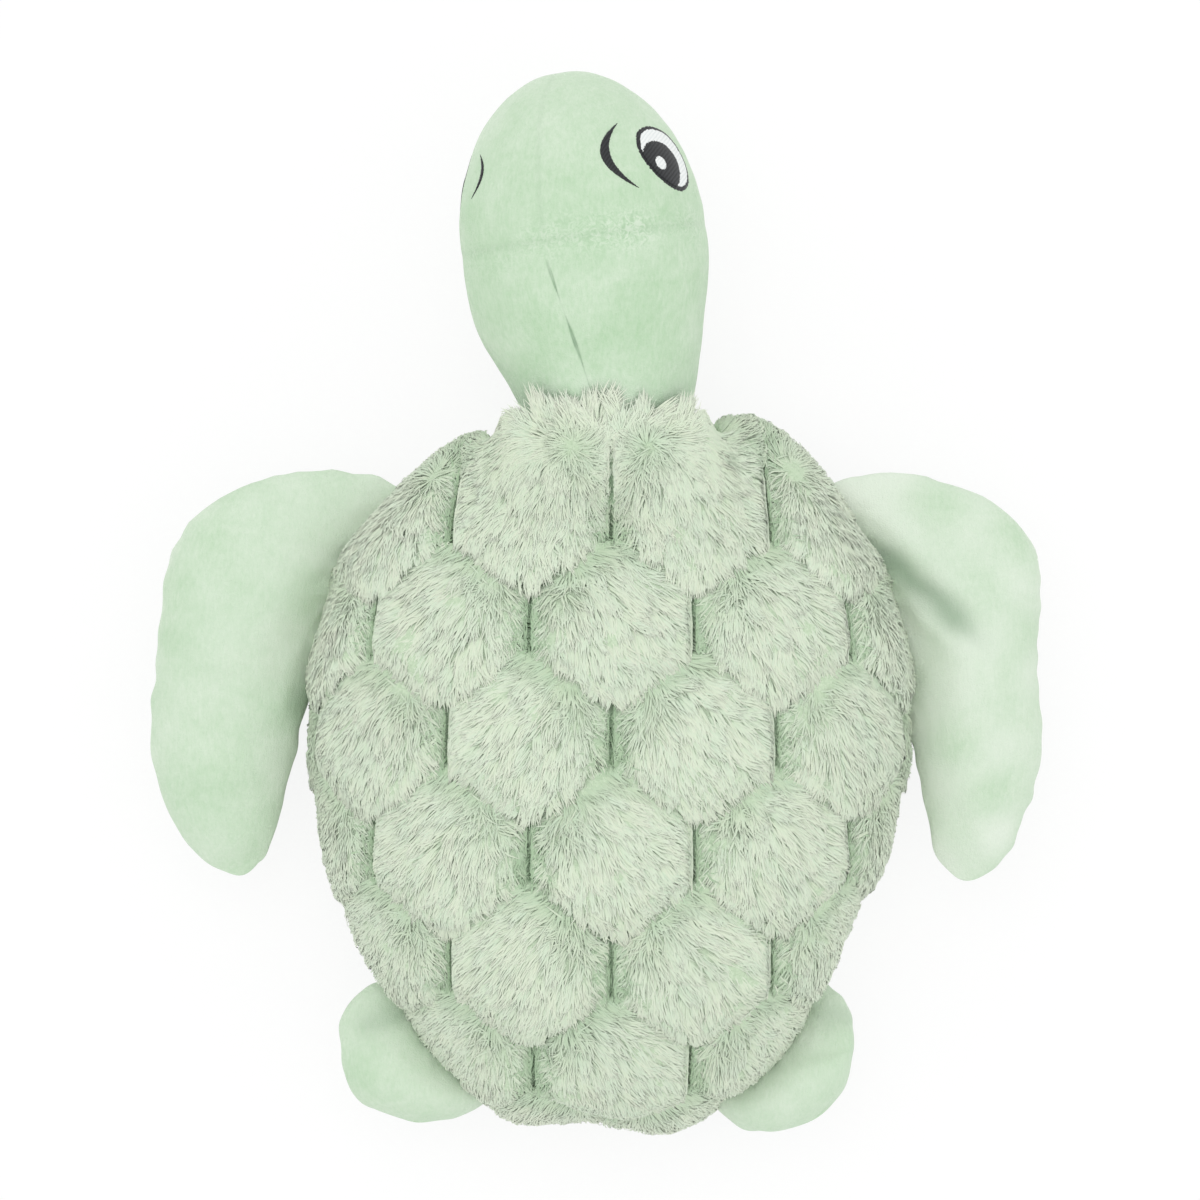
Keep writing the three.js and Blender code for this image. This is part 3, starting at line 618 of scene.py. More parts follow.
eyes = {
    "distance": 37.8,            # behind the nose, along the crown
    "length": 29.4,
    "width": 24.6,
    "slant": 48,
    "line": 1.6,                 # width of the black line round the eye
    "pupil": 19,
    "pupilPlace": (-1.3, -5.2),  # from the eye's middle, along and across its long axis
    "glint": 5.2,
    "glintPlace": (-2.7, -6.1),
    "layer": 0.2,                # height of each layer of thread over the one under it
    "crown": 0.25,               # how far a patch swells in its middle
    "proud": 0.05,               # how far it stands off the pile at least
    "sunk": 0.8,                # how far down in the pile a patch's edge ends
    "stitch": 0.5,               # spacing of the stitches along an edge
    "ragged": 0.16,              # how unevenly they end
}
# How far round from the top of the head, and the brow's size. The left eye is sewn flush, further round,
# and the left brow is smaller and nearer the crown's seam
eyeSides = {
    "right": {"side": 1, "raised": 1, "eye": 73.8, "brow": 48.6, "length": 27, "bend": 9.4, "width": 3.8},
    "left": {"side": -1, "raised": 0.3, "eye": 83, "brow": 45.2, "length": 17, "bend": 5.5, "width": 1.8},
}
brow = {"distance": 35.5, "tip": 0.4, "height": 0.55}


def onCrown(side, distance, angle, along, across, height):
    # A point on the crown's skin, from millimetres behind and round from a place on it
    size, width, flat = head["crownLength"], head["radius"], head["flatness"]
    spot = math.acos(1 - distance / size)
    bend = spot + along / math.hypot(size * math.sin(spot), width * math.cos(spot))
    ahead, radius = head["neckLength"] + size * np.cos(bend), width * np.sin(bend)
    turn = side * (math.radians(angle) + across / radius)
    base = onHead(ahead, radius, flat, turn)
    steep = onHead(np.cos(bend) / size, np.sin(bend) / width, 1 / flat, turn)
    return base + unit(steep - headPivot) * (headRelief(ahead, radius, turn, base) + height)[..., None]


def stitchedEdge(reach, seed):
    # The edge of a patch, where each stitch ends a little short or long
    turns = len(reach)
    uneven = np.random.default_rng(seed).normal(0, 1, turns // 2)
    return reach + eyes["ragged"] * np.interp(np.arange(turns), np.arange(0, turns, 2), uneven)


def threadPatch(kind, reach, place, layer, seed):
    # A low cushion of thread: rings from its middle to its edge, and then down under the pile
    turn = np.linspace(0, 2 * math.pi, len(reach), endpoint=False)
    share = np.concatenate([np.linspace(0.02, 0.94, 9), [0.985, 1, 1.0]])[:, None]
    edge, slant = stitchedEdge(reach, seed), math.radians(eyes["slant"])
    x, y = place[0] + share * (edge * np.cos(turn)), place[1] + share * (edge * np.sin(turn))
    along, across = x * math.cos(slant) - y * math.sin(slant), x * math.sin(slant) + y * math.cos(slant)
    height = eyes["layer"] * layer + eyes["crown"] * np.sqrt(np.maximum(1 - share ** 4, 0))
    height = kind["raised"] * height + eyes["proud"] + 0 * along
    height[-1] = -eyes["sunk"]
    return closedTube(onCrown(kind["side"], eyes["distance"], kind["eye"], along, across, height))


def ovalReach(length, width, turn):
    return 1 / np.hypot(np.cos(turn) / (length / 2), np.sin(turn) / (width / 2))


def joined(parts):
    # Several closed meshes as one list of points and faces
    points, faces, start = [], [], 0
    for some, lists in parts:
        points.append(some)
        faces.append([part + start for part in outwards(some, lists)])
        start += len(some)
    return np.concatenate(points), [np.concatenate([f[i] for f in faces]) for i in range(len(faces[0]))]


def addEye(side, kind):
    length, width, line = eyes["length"], eyes["width"], eyes["line"]
    turn = np.linspace(0, 2 * math.pi, int(math.pi * length / eyes["stitch"] / 2) * 4, endpoint=False)
    whole = ovalReach(length, width, turn)
    opening = ovalReach(length - 2 * line, width - 2 * line, turn)
    # The pupil is a disc, cut off where it would cross the line round the eye
    pupilX, pupilY = eyes["pupilPlace"]
    reach = np.linspace(0.1, 1, 200)[:, None] * eyes["pupil"] / 2
    x, y = pupilX + reach * np.cos(turn), pupilY + reach * np.sin(turn)
    inside = np.hypot(x / (length / 2 - line * 0.7), y / (width / 2 - line * 0.7)) < 1
    pupil = np.max(np.where(inside, reach, 0), axis=0)
    glint = np.full(len(turn), eyes["glint"] / 2)
    ring, disc = threadPatch(kind, whole, (0, 0), 0, 1), threadPatch(kind, pupil, eyes["pupilPlace"], 2, 3)
    for part, (points, faces), thread, slot in (
            ("black", joined([ring, disc]), blackThread, "black_thread"),
            ("white", threadPatch(kind, opening, (0, 0), 1, 2), whiteThread, "white_thread"),
            ("glint", threadPatch(kind, glint, eyes["glintPlace"], 3, 4), whiteThread, "white_thread")):
        piece = meshPiece(f"stitched_{part}_{side}", points, faces, thread, "head", slot)
        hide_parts(f"eye_{part}_{side}")


def addBrow(side, kind):
    # A crescent of thread: a bent line with a low round section that tapers to both tips
    share = np.linspace(-1, 1, 90)[:, None]
    turn = np.linspace(0, 2 * math.pi, 24, endpoint=False)
    width = brow["tip"] + (kind["width"] - brow["tip"]) * (1 - share ** 2)
    width = width + eyes["ragged"] * np.random.default_rng(9).normal(0, 1, share.shape)
    across = kind["bend"] * (share ** 2 - 1) + width / 2 * np.cos(turn)
    over = brow["height"] * np.sin(turn) * np.minimum(width / 2, 1)
    height = np.where(np.sin(turn) > 0, over, eyes["sunk"] * np.sin(turn))
    along = kind["length"] / 2 * share + 0 * turn
    grid = onCrown(kind["side"], brow["distance"], kind["brow"], along, across, height)
    piece = tubePiece(f"stitched_brow_{side}", grid, blackThread, "head", "black_thread")
    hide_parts(f"brow_{side}")


for side, kind in eyeSides.items():
    addEye(side, kind)
    addBrow(side, kind)
print("eyes ready")


# Flippers: two panels of plush each, seamed along the edge and stuffed

flipperShapes = {
    "front": {
        "rootAngle": 39.5, "rootSpan": 26, "bends": ((44, 11), (49.6, -65.2), (35.3, -118.1)),
        "outer": (38, 39.5, 26.5, 24.5, 17, 8), "inner": (27, 30, 32.5, 26, 17, 9),
        "heights": (1.8, 14.5, 18, 14.5, 9, 0.8),
    },
    "rear": {
        "rootAngle": -56, "rootSpan": 26, "bends": ((7.1, -8.3), (6.8, -15.4), (10.1, -31)),
        "outer": (27, 35, 31, 25.5, 19.7, 9), "inner": (26, 29, 31, 26.5, 18, 8),
        "heights": (1.8, 9, 12.5, 12, 8, 0.8),
    },
}
# how far the plush is painted paler, as painted highlight where light falls on it
flipperPoses = {
    "front_left_flipper": {"shape": "front", "sign": -1, "splay": 1.5, "bow": 2.5, "wider": 2,
                           "pressed": 0.2, "seed": 11},
    "front_right_flipper": {"shape": "front", "sign": 1, "splay": -1.5, "bow": -2.5, "wider": -2.5,
                            "pressed": 0.42, "seed": 12},
    "rear_left_flipper": {"shape": "rear", "sign": -1, "splay": 0, "bow": 1, "pressed": 0.08, "seed": 13},
    "rear_right_flipper": {"shape": "rear", "sign": 1, "splay": 0, "bow": -6, "furthest": 91,
                           "pressed": 0.15, "seed": 14},
}
flipperCloth = {
    "stations": (0, 0.25, 0.5, 0.75, 0.9, 1),    # shares of the length that the widths and heights stand at
    "rootGap": 0.6,
    "rootRise": 0.85,            # slope of the pinched cloth away from the root
    "rootFade": 0.35,
    "rounding": 2.5,             # softness of the limit on how far aside a flipper goes
    "gather": 2.2,               # softness of the step from the pinched cloth to the full cushion
    "tipStart": 0.93,            # where the end begins to round off
    "tip": 0.03,
    "rings": 110,
    "facets": 120,
    "ease": 0.3,
    "puckers": 17,               # round the root
    "wall": 1.6,                 # cloth and pile over the filling
}
# Creases of the stuffed cloth: two ends, width and depth, and how dark the painted shade in the crease gets
creases = {
    "front_right_flipper": (((103, 82), (131, 56), 4.5, 2.6, 0.55), ((116, 110), (122, 104), 6, -1.2, 0)),
    "front_left_flipper": (((-101, 80), (-93, 76), 2.0, 1.0, 0.3), ((-108, 42), (-117, 22), 5, 1.6, 0.4)),
    "rear_left_flipper": (((-70, -88), (-92, -96), 5, 1.2, 0.25),),
    "rear_right_flipper": (((72, -90), (90, -93), 4, 1.0, 0.2),),
}


def rootSpot(angle):
    # A place just outside the body's outline, across the gap at a flipper's root
    reach = outlineRadius(angle) + flipperCloth["rootGap"]
    return np.stack([np.cos(angle) * reach, body["centreY"] + np.sin(angle) * reach], -1)


def flipperSurface(pose, share, turn):
    # A crescent round a curved spine, swelling from its side seam and pinched where it joins the body
    shape, stations = flipperShapes[pose["shape"]], flipperCloth["stations"]
    across, splay = -np.cos(turn), math.radians(pose["splay"])
    spin = np.array([[math.cos(splay), -math.sin(splay)], [math.sin(splay), math.cos(splay)]])
    bends = [np.array([x + (pose["bow"] if i < 2 else 0), y]) for i, (x, y) in enumerate(shape["bends"])]
    root = rootSpot(np.radians(shape["rootAngle"]))
    p0, p1, p2, p3 = [root] + [root + spin @ bend for bend in bends]
    t = share[..., None]
    middle = p0 * (1 - t) ** 3 + 3 * p1 * t * (1 - t) ** 2 + 3 * p2 * t ** 2 * (1 - t) + p3 * t ** 3
    along = unit((p1 - p0) * (1 - t) ** 2 + 2 * (p2 - p1) * t * (1 - t) + (p3 - p2) * t ** 2)
    wider = pose.get("wider", 0) * ease(share, 0.25, 0.5) * (1 - ease(share, 0.8, 1))
    half = np.where(across > 0, smoothThrough(stations, shape["outer"], share) + wider,
                    smoothThrough(stations, shape["inner"], share) + np.minimum(wider, 0))
    start = flipperCloth["tipStart"]
    past = np.maximum(share / start - 1, 0) / (1 / start - 1)
    tip = np.maximum(np.sqrt(np.maximum(1 - past ** 2, 0)), flipperCloth["tip"])
    spread = across * half * tip
    swept = middle + np.stack([-along[..., 1] * spread, along[..., 0] * spread], -1)
    fade = np.maximum(0, 1 - share / flipperCloth["rootFade"]) ** 2
    perMillimetre = shape["rootSpan"] / (shape["outer"][0] + shape["inner"][0])
    onRoot = rootSpot(np.radians(shape["rootAngle"] + spread * perMillimetre))
    spot = swept + (onRoot - swept) * fade[..., None]
    angle, flat, _ = fromCentre(spot[..., 0], spot[..., 1])
    beyond = flat - outlineRadius(angle) - flipperCloth["rootGap"]
    spot = np.where((beyond < 0)[..., None], rootSpot(angle), spot)
    furthest, soft = pose.get("furthest", 999), flipperCloth["rounding"]
    spot[..., 0] = -soft * np.logaddexp(-spot[..., 0] / soft, -furthest / soft)
    pinched = shape["heights"][0] + flipperCloth["rootRise"] * np.maximum(beyond, 0)
    swell = smoothThrough(stations, shape["heights"], share) * tip * np.maximum(1 - across ** 2, 0) ** 0.6
    gather = flipperCloth["gather"]
    bulge = -np.log(np.exp(-swell / gather) + np.exp(-pinched / gather)) * gather
    bulge = np.maximum(bulge, 0.5 * np.minimum(swell, pinched))
    z = body["seamZ"] + np.sign(np.sin(turn)) * bulge
    return np.stack([pose["sign"] * spot[..., 0], spot[..., 1], z], -1), across, beyond


def creaseShare(spot, start, end):
    # How far aside of a crease a place lies, and a share that falls off past the crease's ends
    a, run = np.array(start, float), np.array(end, float) - np.array(start, float)
    length = np.linalg.norm(run)
    t = ((spot - a) @ run) / length ** 2
    off = (spot[..., 0] - a[0]) * run[1] / length - (spot[..., 1] - a[1]) * run[0] / length
    return off, np.exp(-(np.maximum(np.abs(t - 0.5) - 0.4, 0) / 0.3) ** 2)


def addFlipper(name, pose):
    facets, seed = flipperCloth["facets"], pose["seed"]
    share = 1 - (1 - np.linspace(0, 1, flipperCloth["rings"])) ** 1.4
    turn = np.linspace(0, 2 * math.pi, facets, endpoint=False) + 1e-4
    share, turn = np.meshgrid(share, turn - 0.16 * np.sin(2 * turn), indexing="ij")
    base, across, beyond = flipperSurface(pose, share, turn)
    normals = gridNormals(base)
    edge = 1 - across ** 2
    relief = (0.9 * lumps(base, 46, seed) + 0.3 * lumps(base, 17, seed + 20)) * edge + flipperCloth["ease"]
    relief += 0.6 * (1 - np.minimum(edge / 0.1, 1)) * lumps(base, 13, seed + 40)
    puckers = np.sin(turn * flipperCloth["puckers"] + 3 * lumps(base, 16, seed + 60))
    relief += 0.5 * np.exp(-(beyond / 9) ** 2) * puckers * edge
    painted_shade = np.zeros(turn.shape)
    # Each crease is dented and painted darker along its line, as painted shade in the fold
    for start, end, width, depth, shade in creases[name]:
        off, fall = creaseShare(base[..., :2], start, end)
        off = np.abs(off + 0.8 * lumps(base, 15, 9)) / width
        fall = fall * (np.sin(turn) > 0)
        line = np.exp(-off ** 2) * fall
        full = np.exp(-((off - 1.9) / 0.9) ** 2) * fall * ease(beyond, 2, 10)
        relief += 0.6 * depth * full - 0.3 * depth * line
        painted_shade = np.maximum(painted_shade, shade * line)
    # Painted highlight over the whole flipper, strongest near its root where the body shades it
    pressed = pose["pressed"] * (1 + 0.6 * lumps(base, 30, seed + 5)) + 0.3 * np.exp(-(beyond / 25) ** 2)
    grid = base + normals * np.maximum(relief, -0.5)[..., None]
    values = {"seam": painted_shade, "pressed": np.clip(pressed, 0, 1)}
    piece = tubePiece(f"{name}_skin", grid, plush, name, "short_pile", values)
    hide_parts(f"{name}_top", f"{name}_bottom")
    inner = (base - normals * flipperCloth["wall"])[4:-4:2, ::2]
    stuffing = tubePiece(f"{name}_fibre", inner, fibre, name, "fibre")
    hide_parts(f"{name}_filling")


for name, pose in flipperPoses.items():
    addFlipper(name, pose)
print("flippers ready")


# Belly: a dish of plush, sewn to the back along the side seam

belly = {
    "roundness": 3,
    "restDepth": 0.5,
    "inset": 1.5,                # how far it lies inside the pile's outline
    "wall": 1.0,
    "facets": 260,
}


def bellySurface(out, angle, depth):
    radius = outlineRadius(angle) - belly["inset"] - depth
    dish = np.maximum(1 - out ** belly["roundness"], 0) ** (1 / belly["roundness"])
    z = np.maximum(depth, body["seamZ"] - (body["seamZ"] + belly["restDepth"] - depth) * dish)
    return np.stack([np.cos(angle) * radius * out, body["centreY"] + np.sin(angle) * radius * out, z], -1)


def addBelly():
    # A wall between the surface and the same surface further in, closed at its rim
    out = np.concatenate([np.linspace(0.01, 0.9, 32), np.linspace(0.9, 1, 16)[1:]])
    angle = np.linspace(0, 2 * math.pi, belly["facets"], endpoint=False)
    out, angle = np.meshgrid(out, angle, indexing="ij")
    outer, inner = bellySurface(out, angle, 0), bellySurface(out, angle, belly["wall"])
    outer[..., 2] += 0.6 * lumps(outer, 30, 31) * np.clip(outer[..., 2] / 12, 0, 1)
    piece = tubePiece("belly_skin", np.concatenate([outer, inner[::-1]]), plush, "body", "short_pile")
    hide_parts("belly_cover")


addBelly()
print("belly ready")


# Hood: the front of the back's cloth, which lies over the neck's base

hood = {
    "drape": 1.4,                # the cloth leaves the neck's sides and slopes wider than it
    "side": (35, 54),            # it gives way to the back's own slope between these distances aside
    "front": (86, 108),          # and to the back behind it between these
    "end": 133,                  # its front edge, over the neck
    "endCurve": 1.5,             # how far that edge curves back at its sides
    "beyond": 14,                # how far past the edge the pile may hang
    "whorl": (-4, 106),          # its pile sweeps out from here
    "fringe": (120, 128),        # ahead of these distances it has no slit and lies over the neck
    "thick": (0.5, 114),         # from this share and distance on it has three times the strands
    "ease": 1.0,                 # cloth over the neck's skin
    "rounding": 5,               # softness of the corner between the neck and the back
    "settled": 1.75,             # and how far the cloth sinks again for it
    "sewnDepth": 2.2,            # how far its front edge is drawn in
    "bend": (98, 136),           # a stretch of the cloth over the neck
}


def besideNeck(gx, gy):
    # Distance along the neck's line ahead of its pivot, and aside from that line, seen from above
    ahead, lean = gy - head["pivot"][1], math.radians(head["lean"])
    return ahead / math.cos(lean), np.abs(gx + math.tan(lean) * ahead)


def hoodTop(gx, gy):
    # Height of the cloth where it lies over the neck, rounded into the back behind it
    along, aside = besideNeck(gx, gy)
    _, radius = neckShape(np.clip(1 - along / head["neckLength"], 0, 1))
    over = np.sqrt(np.maximum(radius ** 2 - (aside / hood["drape"]) ** 2 - np.minimum(along, 0) ** 2, 0))
    neckTop = head["pivot"][2] + over + hood["ease"]
    _, flat, reach = fromCentre(gx, gy)
    power, soft = body["domeRoundness"], hood["rounding"]
    dome = np.maximum(1 - np.minimum(flat / reach, 1) ** power, 0) ** (1 / power)
    backTop = body["seamZ"] + body["domeHeight"] * dome
    return soft * np.logaddexp(neckTop / soft, backTop / soft) - hood["settled"]


def hoodEnd(gx):
    return hood["end"] - hood["endCurve"] * np.minimum(np.abs(gx) / hood["side"][0], 1.6) ** 2


def hoodShare(gx, gy):
    # 1 where the cloth lies over the neck and 0 on the back
    _, aside = besideNeck(gx, gy)
    return (1 - ease(aside, *hood["side"])) * ease(gy, *hood["front"])


def fringeShare(gx, gy):
    # 1 where the pile lies forward over the neck
    return hoodShare(gx, gy) * ease(gy, *hood["fringe"])


def shellSpot(gx, gy, height):
    # The back's own surface, drawn over the neck at the front
    share = hoodShare(gx, gy)
    held = np.minimum(gy, hoodEnd(gx) + hood["beyond"] * ease(share, 0.7, 1))
    over = np.stack([gx, held, hoodTop(gx, held) + height], -1)
    share = share[..., None]
    return backSpot(gx, gy, height) * (1 - share) + over * share


def neckGap(points):
    # How far outside the neck's skin a point lies, negative inside it
    local = (points - headPivot) @ headTurn
    _, radius = neckShape(np.clip(1 - local[..., 1] / head["neckLength"], 0, 1))
    ball = np.linalg.norm(local, axis=-1) - head["neckRadius"]
    return np.where(local[..., 1] > 0, np.hypot(local[..., 0], local[..., 2]) - radius, ball)


def bendWithNeck(piece):
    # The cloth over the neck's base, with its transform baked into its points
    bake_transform(piece)


# Scutes: rows of six-sided tufted plates, each row lying over the one behind it

scute = {
    "width": 60,
    "pitch": 42.3,
    "firstY": 121.3,             # front edge of row 0, without what it is longer than the others
    "longer": 8,
    "point": 8.5,                # how far a plate's rear corner reaches back
    "rows": 7,
    "spareRows": 3,              # rows of the pattern past the last one, where it goes under the seam
}


def slitWave(gx, row):
    # 1 on the slits of a row, -1 on the middles of its plates
    return np.cos(2 * math.pi * gx / scute["width"] - math.pi * (row % 2))


def edgeY(gx, row):
    # Front edge of a row, which is the zigzag rear edge of the row before it
    firstY = scute["firstY"] + scute["longer"] * (row == 0)
    return firstY - row * scute["pitch"] + scute["point"] * slitWave(gx, row - 1)


def rowAt(gx, gy):
    # The row of plates that a place on the pattern belongs to, with row 0 also for what lies ahead of it
    row = np.zeros(gx.shape, int)
    for k in range(1, scute["rows"] + scute["spareRows"]):
        row = np.where(gy <= edgeY(gx, k), k, row)
    return row


def plateMiddle(gx, row):
    # The middle of the plate that a place belongs to
    half = scute["width"] / 2
    shift = half * (row % 2)
    return np.floor((gx + shift) / scute["width"]) * scute["width"] - shift + half


def plateSide(middle):
    # Which side of the back a plate is on, and 1 on the midline
    return np.where(np.abs(middle) < 1, 1, np.sign(middle))


# Long pile: plates of dense fur on the backing, and locks of longer strands combed over them

pile = {
    "step": 30 / 21,             # spacing of the dense pile's grid, so that every slit falls on a line of it
    "edge": 1.03,                # the pile ends this far down the back, as a share of the way to the seam
    "density": 1.22,             # strands to the square millimetre
    "length": 12.5,
    "lengths": (0.75, 1.15),     # shares of it that the shortest and the longest strands have
    "leastLength": 3.5,
    "width": 0.74,
    "widths": (0.7, 1.25),
    "steps": (0, 0.3, 0.66, 1),  # where a strand has its rings, and its tip
    "taper": (0.9, 1.0, 0.72),   # width at the rings
    "rise": (0.35, 1.25, 1.15),  # height over its own plate at the steps after its root
    "stand": (0.3, 0.8),         # shares of that height that the lowest and the highest strands have
    "clear": (0.1, 0.3, 0.35),   # least height over the plate that it reaches
    "past": 1.6,                 # how far its tip hangs over the plate's rear edge
    "stray": 4.5,                # degrees that it turns and bends away from its lock
    "strayBend": 7,
    "lockTurn": 26,              # degrees that locks turn and bend, how much more in the fringe, and curls
    "fringeTurn": 44,
    "curlyTurn": 60,
    "flatness": 0.28,
    "softness": 0.75,            # how far a strand takes its light from the plate it lies on
    "lock": 4.6,                 # spacing of the locks
    "gather": 0.62,              # how far a lock's strands close up at its tips
    "frontLift": 4.0,            # height of the pile at a plate's front and rear edges
    "rearLift": 7.4,
    "rearRound": 1.6,            # how much lower the rounded rear edge is
    "sideShare": 0.62,           # of that height kept at the side seam
    "whorlSide": 14,             # from the slit on the midline's side to a plate's whorl
    "whorlShare": 0.22,
    "whorlSize": 5.5,
    "curlyWidth": (3.2, 10.4),   # beside the slit on the midline's side, and where that ends
    "curlyLength": 5.5,
    "curlyLengths": (0.7, 1.3),
    "slitWidth": 0.9,
    "slitDepth": 3.0,
    "slitRoom": 3,               # strands turn aside within this distance of a slit
    "sunk": 1.4,                 # how deep the strands' roots stand in the dense pile
}
# Where the pile stands out further: direction from the body's centre, spread and height
banks = ((70, 9, 9.0), (60, 16, 6.0), (45, 8, -3.0), (110, 12, 7.0), (-107, 7, 4.5), (-79, 7, 4.5),
         (-93, 30, 3.0), (-93, 7, -3.5), (205, 30, 3.5), (-32, 13, -4.0))


def patternReach(gx, gy, limit):
    # How far the pile goes from the back's top: down to the side seam, and at the front over the neck
    angle, _, radius = fromCentre(gx, gy)
    reach = limit * radius / meridian["radius"]
    ahead = (hoodEnd(gx) - body["centreY"]) / np.maximum(np.sin(angle), 0.5)
    return reach + (ahead - reach) * ease(hoodShare(gx, gy), 0, 0.6)


def downTheSide(gx, gy):
    # 0 on the back and 1 at the side seam, and the extra pile that stands out there
    _, out = crowding(gx, gy)
    onBack = 1 - hoodShare(gx, gy)
    angle = np.degrees(fromCentre(gx, gy)[0])
    extra = 0
    for middle, spread, height in banks:
        off = np.mod(angle - middle + 180, 360) - 180
        extra = extra + height * np.exp(-(off / spread) ** 2)
    return ease(out, 0.7, 1.0) * onBack, extra * ease(out, 0.66, 0.95) * onBack


def plateHeight(gx, gy, row, middle):
    # Height of the dense pile of one plate. It rises to the rear, ends in a rounded edge that hangs over,
    # stops sharply on its outer side and is low and curly beside the slit on the midline's side.
    front, rear = edgeY(gx, row), edgeY(gx, row + 1)
    share = (front - gy) / (front - rear)
    height = pile["frontLift"] + (pile["rearLift"] - pile["frontLift"]) * ease(share, 0, 0.9)
    height = height - pile["rearRound"] * (1 - ease(gy - rear, 0, 4)) - 0.5 * np.maximum(rear - gy, 0)
    across = (gx - middle) * plateSide(middle)
    outer, inner = scute["width"] / 2 - across, scute["width"] / 2 + across
    curly = 1 - ease(inner, *pile["curlyWidth"])
    low = (1 - 0.5 * curly) * (0.55 + 0.45 * ease(inner, -0.2, 1.4))
    sharp = 0.4 + 0.6 * ease(outer, -0.2, 2.2)
    down, extra = downTheSide(gx, gy)
    shaped = (1 - down) * (1 - fringeShare(gx, gy))
    height = height * (1 - (1 - np.minimum(low, sharp)) * shaped)
    height = height * (1 - 0.95 * ease(gy, hoodEnd(gx) - 13, hoodEnd(gx) + 5) * hoodShare(gx, gy))
    return height * (1 - (1 - pile["sideShare"]) * down) + extra, curly * shaped, share


def wallBetween(top, bottom, cells):
    # The cells of two grids, one over the other, with a wall round every border; and the points used
    edges = np.concatenate([cells[:, [i, (i + 1) % 4]] for i in range(4)])
    _, first, counts = np.unique(np.sort(edges, 1), axis=0, return_index=True, return_counts=True)
    used = np.unique(cells)
    upper, rim = np.searchsorted(used, cells), np.searchsorted(used, edges[first[counts == 1]])
    size = len(used)
    wall = np.stack([rim[:, 1], rim[:, 0], rim[:, 0] + size, rim[:, 1] + size], -1)
    points = np.concatenate([top.reshape(-1, 3)[used], bottom.reshape(-1, 3)[used]])
    return points, [np.concatenate([upper, upper[:, ::-1] + size, wall])], used


def addPlates():
    # The dense pile and its backing as one wall, with openings at the neck and along the side seam
    step, limit = pile["step"], rimArc * pile["edge"]
    count = int(limit * 1.2 / step)
    line = np.arange(-count, count + 1) * step
    gx, gy = np.meshgrid(line, line + round(body["centreY"] / step) * step)
    flat, reach = fromCentre(gx, gy)[1], patternReach(gx, gy, limit)
    inside = flat < reach
    held = np.minimum(1, reach / np.maximum(flat, 1e-6))
    gx, gy = gx * held, body["centreY"] + (gy - body["centreY"]) * held
    row = rowAt(gx, gy)
    middle, overNeck = plateMiddle(gx, row), hoodShare(gx, gy)
    height, curly, share = plateHeight(gx, gy, row, middle)
    level = 1 - downTheSide(gx, gy)[0] * (1 - overNeck)
    slit = scute["width"] / 2 - np.abs(gx - middle)
    groove = np.exp(-(slit / pile["slitWidth"]) ** 2) * level * (1 - fringeShare(gx, gy))
    height = np.maximum(height - pile["slitDepth"] * groove, 0.5)
    spots = shellSpot(gx, gy, height)
    height = height + 0.35 * lumps(spots, 9, 51) + 0.5 * lumps(spots, 26, 52)
    sewn = hood["sewnDepth"] * ease(gy, hoodEnd(gx) - 8, hoodEnd(gx)) * overNeck
    top, bottom = shellSpot(gx, gy, np.maximum(height, 0.4) - sewn), shellSpot(gx, gy, -0.3 - sewn)
    # Painted shade: darker in the slits' grooves, in the low curly pile beside them, and just behind the
    # edge that the row before hangs over
    under = (1 - ease(share, 0, 0.12)) * level * (row > 0)
    painted_shade = np.clip(0.95 * groove + 0.5 * curly + 0.35 * under, 0, 1)
    cells = gridFaces(*gx.shape)
    gap = np.where(overNeck > 0.4, 1, neckGap(top)).ravel()
    cells = cells[inside.ravel()[cells].all(1) & (gap[cells].max(1) > -2.5)]
    points, faces, used = wallBetween(top, bottom, cells)
    # The backing's underside is painted a little darker as well, as painted shade under the plates
    values = np.concatenate([painted_shade.ravel()[used], np.full(len(used), 0.3)])
    piece = meshPiece("fur_plates", points, faces, backing, None, "long_pile", {"painted_shade": values})
    bendWithNeck(piece)
    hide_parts("shell_cover")


def combing(gx, gy, row, middle):
    # Direction on the pattern that the pile lies in: away from the whorl, rearwards, and down the sides
    whorlX = middle - plateSide(middle) * (scute["width"] / 2 - pile["whorlSide"])
    whorlY = edgeY(gx, row) - pile["whorlShare"] * scute["pitch"]
    dx, dy = gx - whorlX, gy - whorlY
    away = np.hypot(dx, dy) + 5
    forward = (row == 0) * hoodShare(gx, gy) * ease(gy, whorlY - 8, whorlY + 6)
    x, y = 1.2 * dx / away, 0.7 * dy / away - 0.75 * (1 - forward)
    flat = np.maximum(fromCentre(gx, gy)[1], 1e-6)
    down, _ = downTheSide(gx, gy)
    x = x + (1.3 * gx / flat - x) * down * 0.75
    y = y + (1.3 * (gy - body["centreY"]) / flat - y) * down * 0.75
    ahead = fringeShare(gx, gy)
    sweepX, sweepY = gx - hood["whorl"][0], gy - hood["whorl"][1]
    sweep = np.maximum(np.hypot(sweepX, sweepY), 1e-6)
    x, y = x + (sweepX / sweep - x) * ahead, y + (sweepY / sweep - y) * ahead
    size = np.maximum(np.hypot(x, y), 1e-6)
    messy = np.exp(-((np.hypot(dx, dy) / pile["whorlSize"]) ** 2)) * (1 - down)
    return x / size, y / size, down, messy


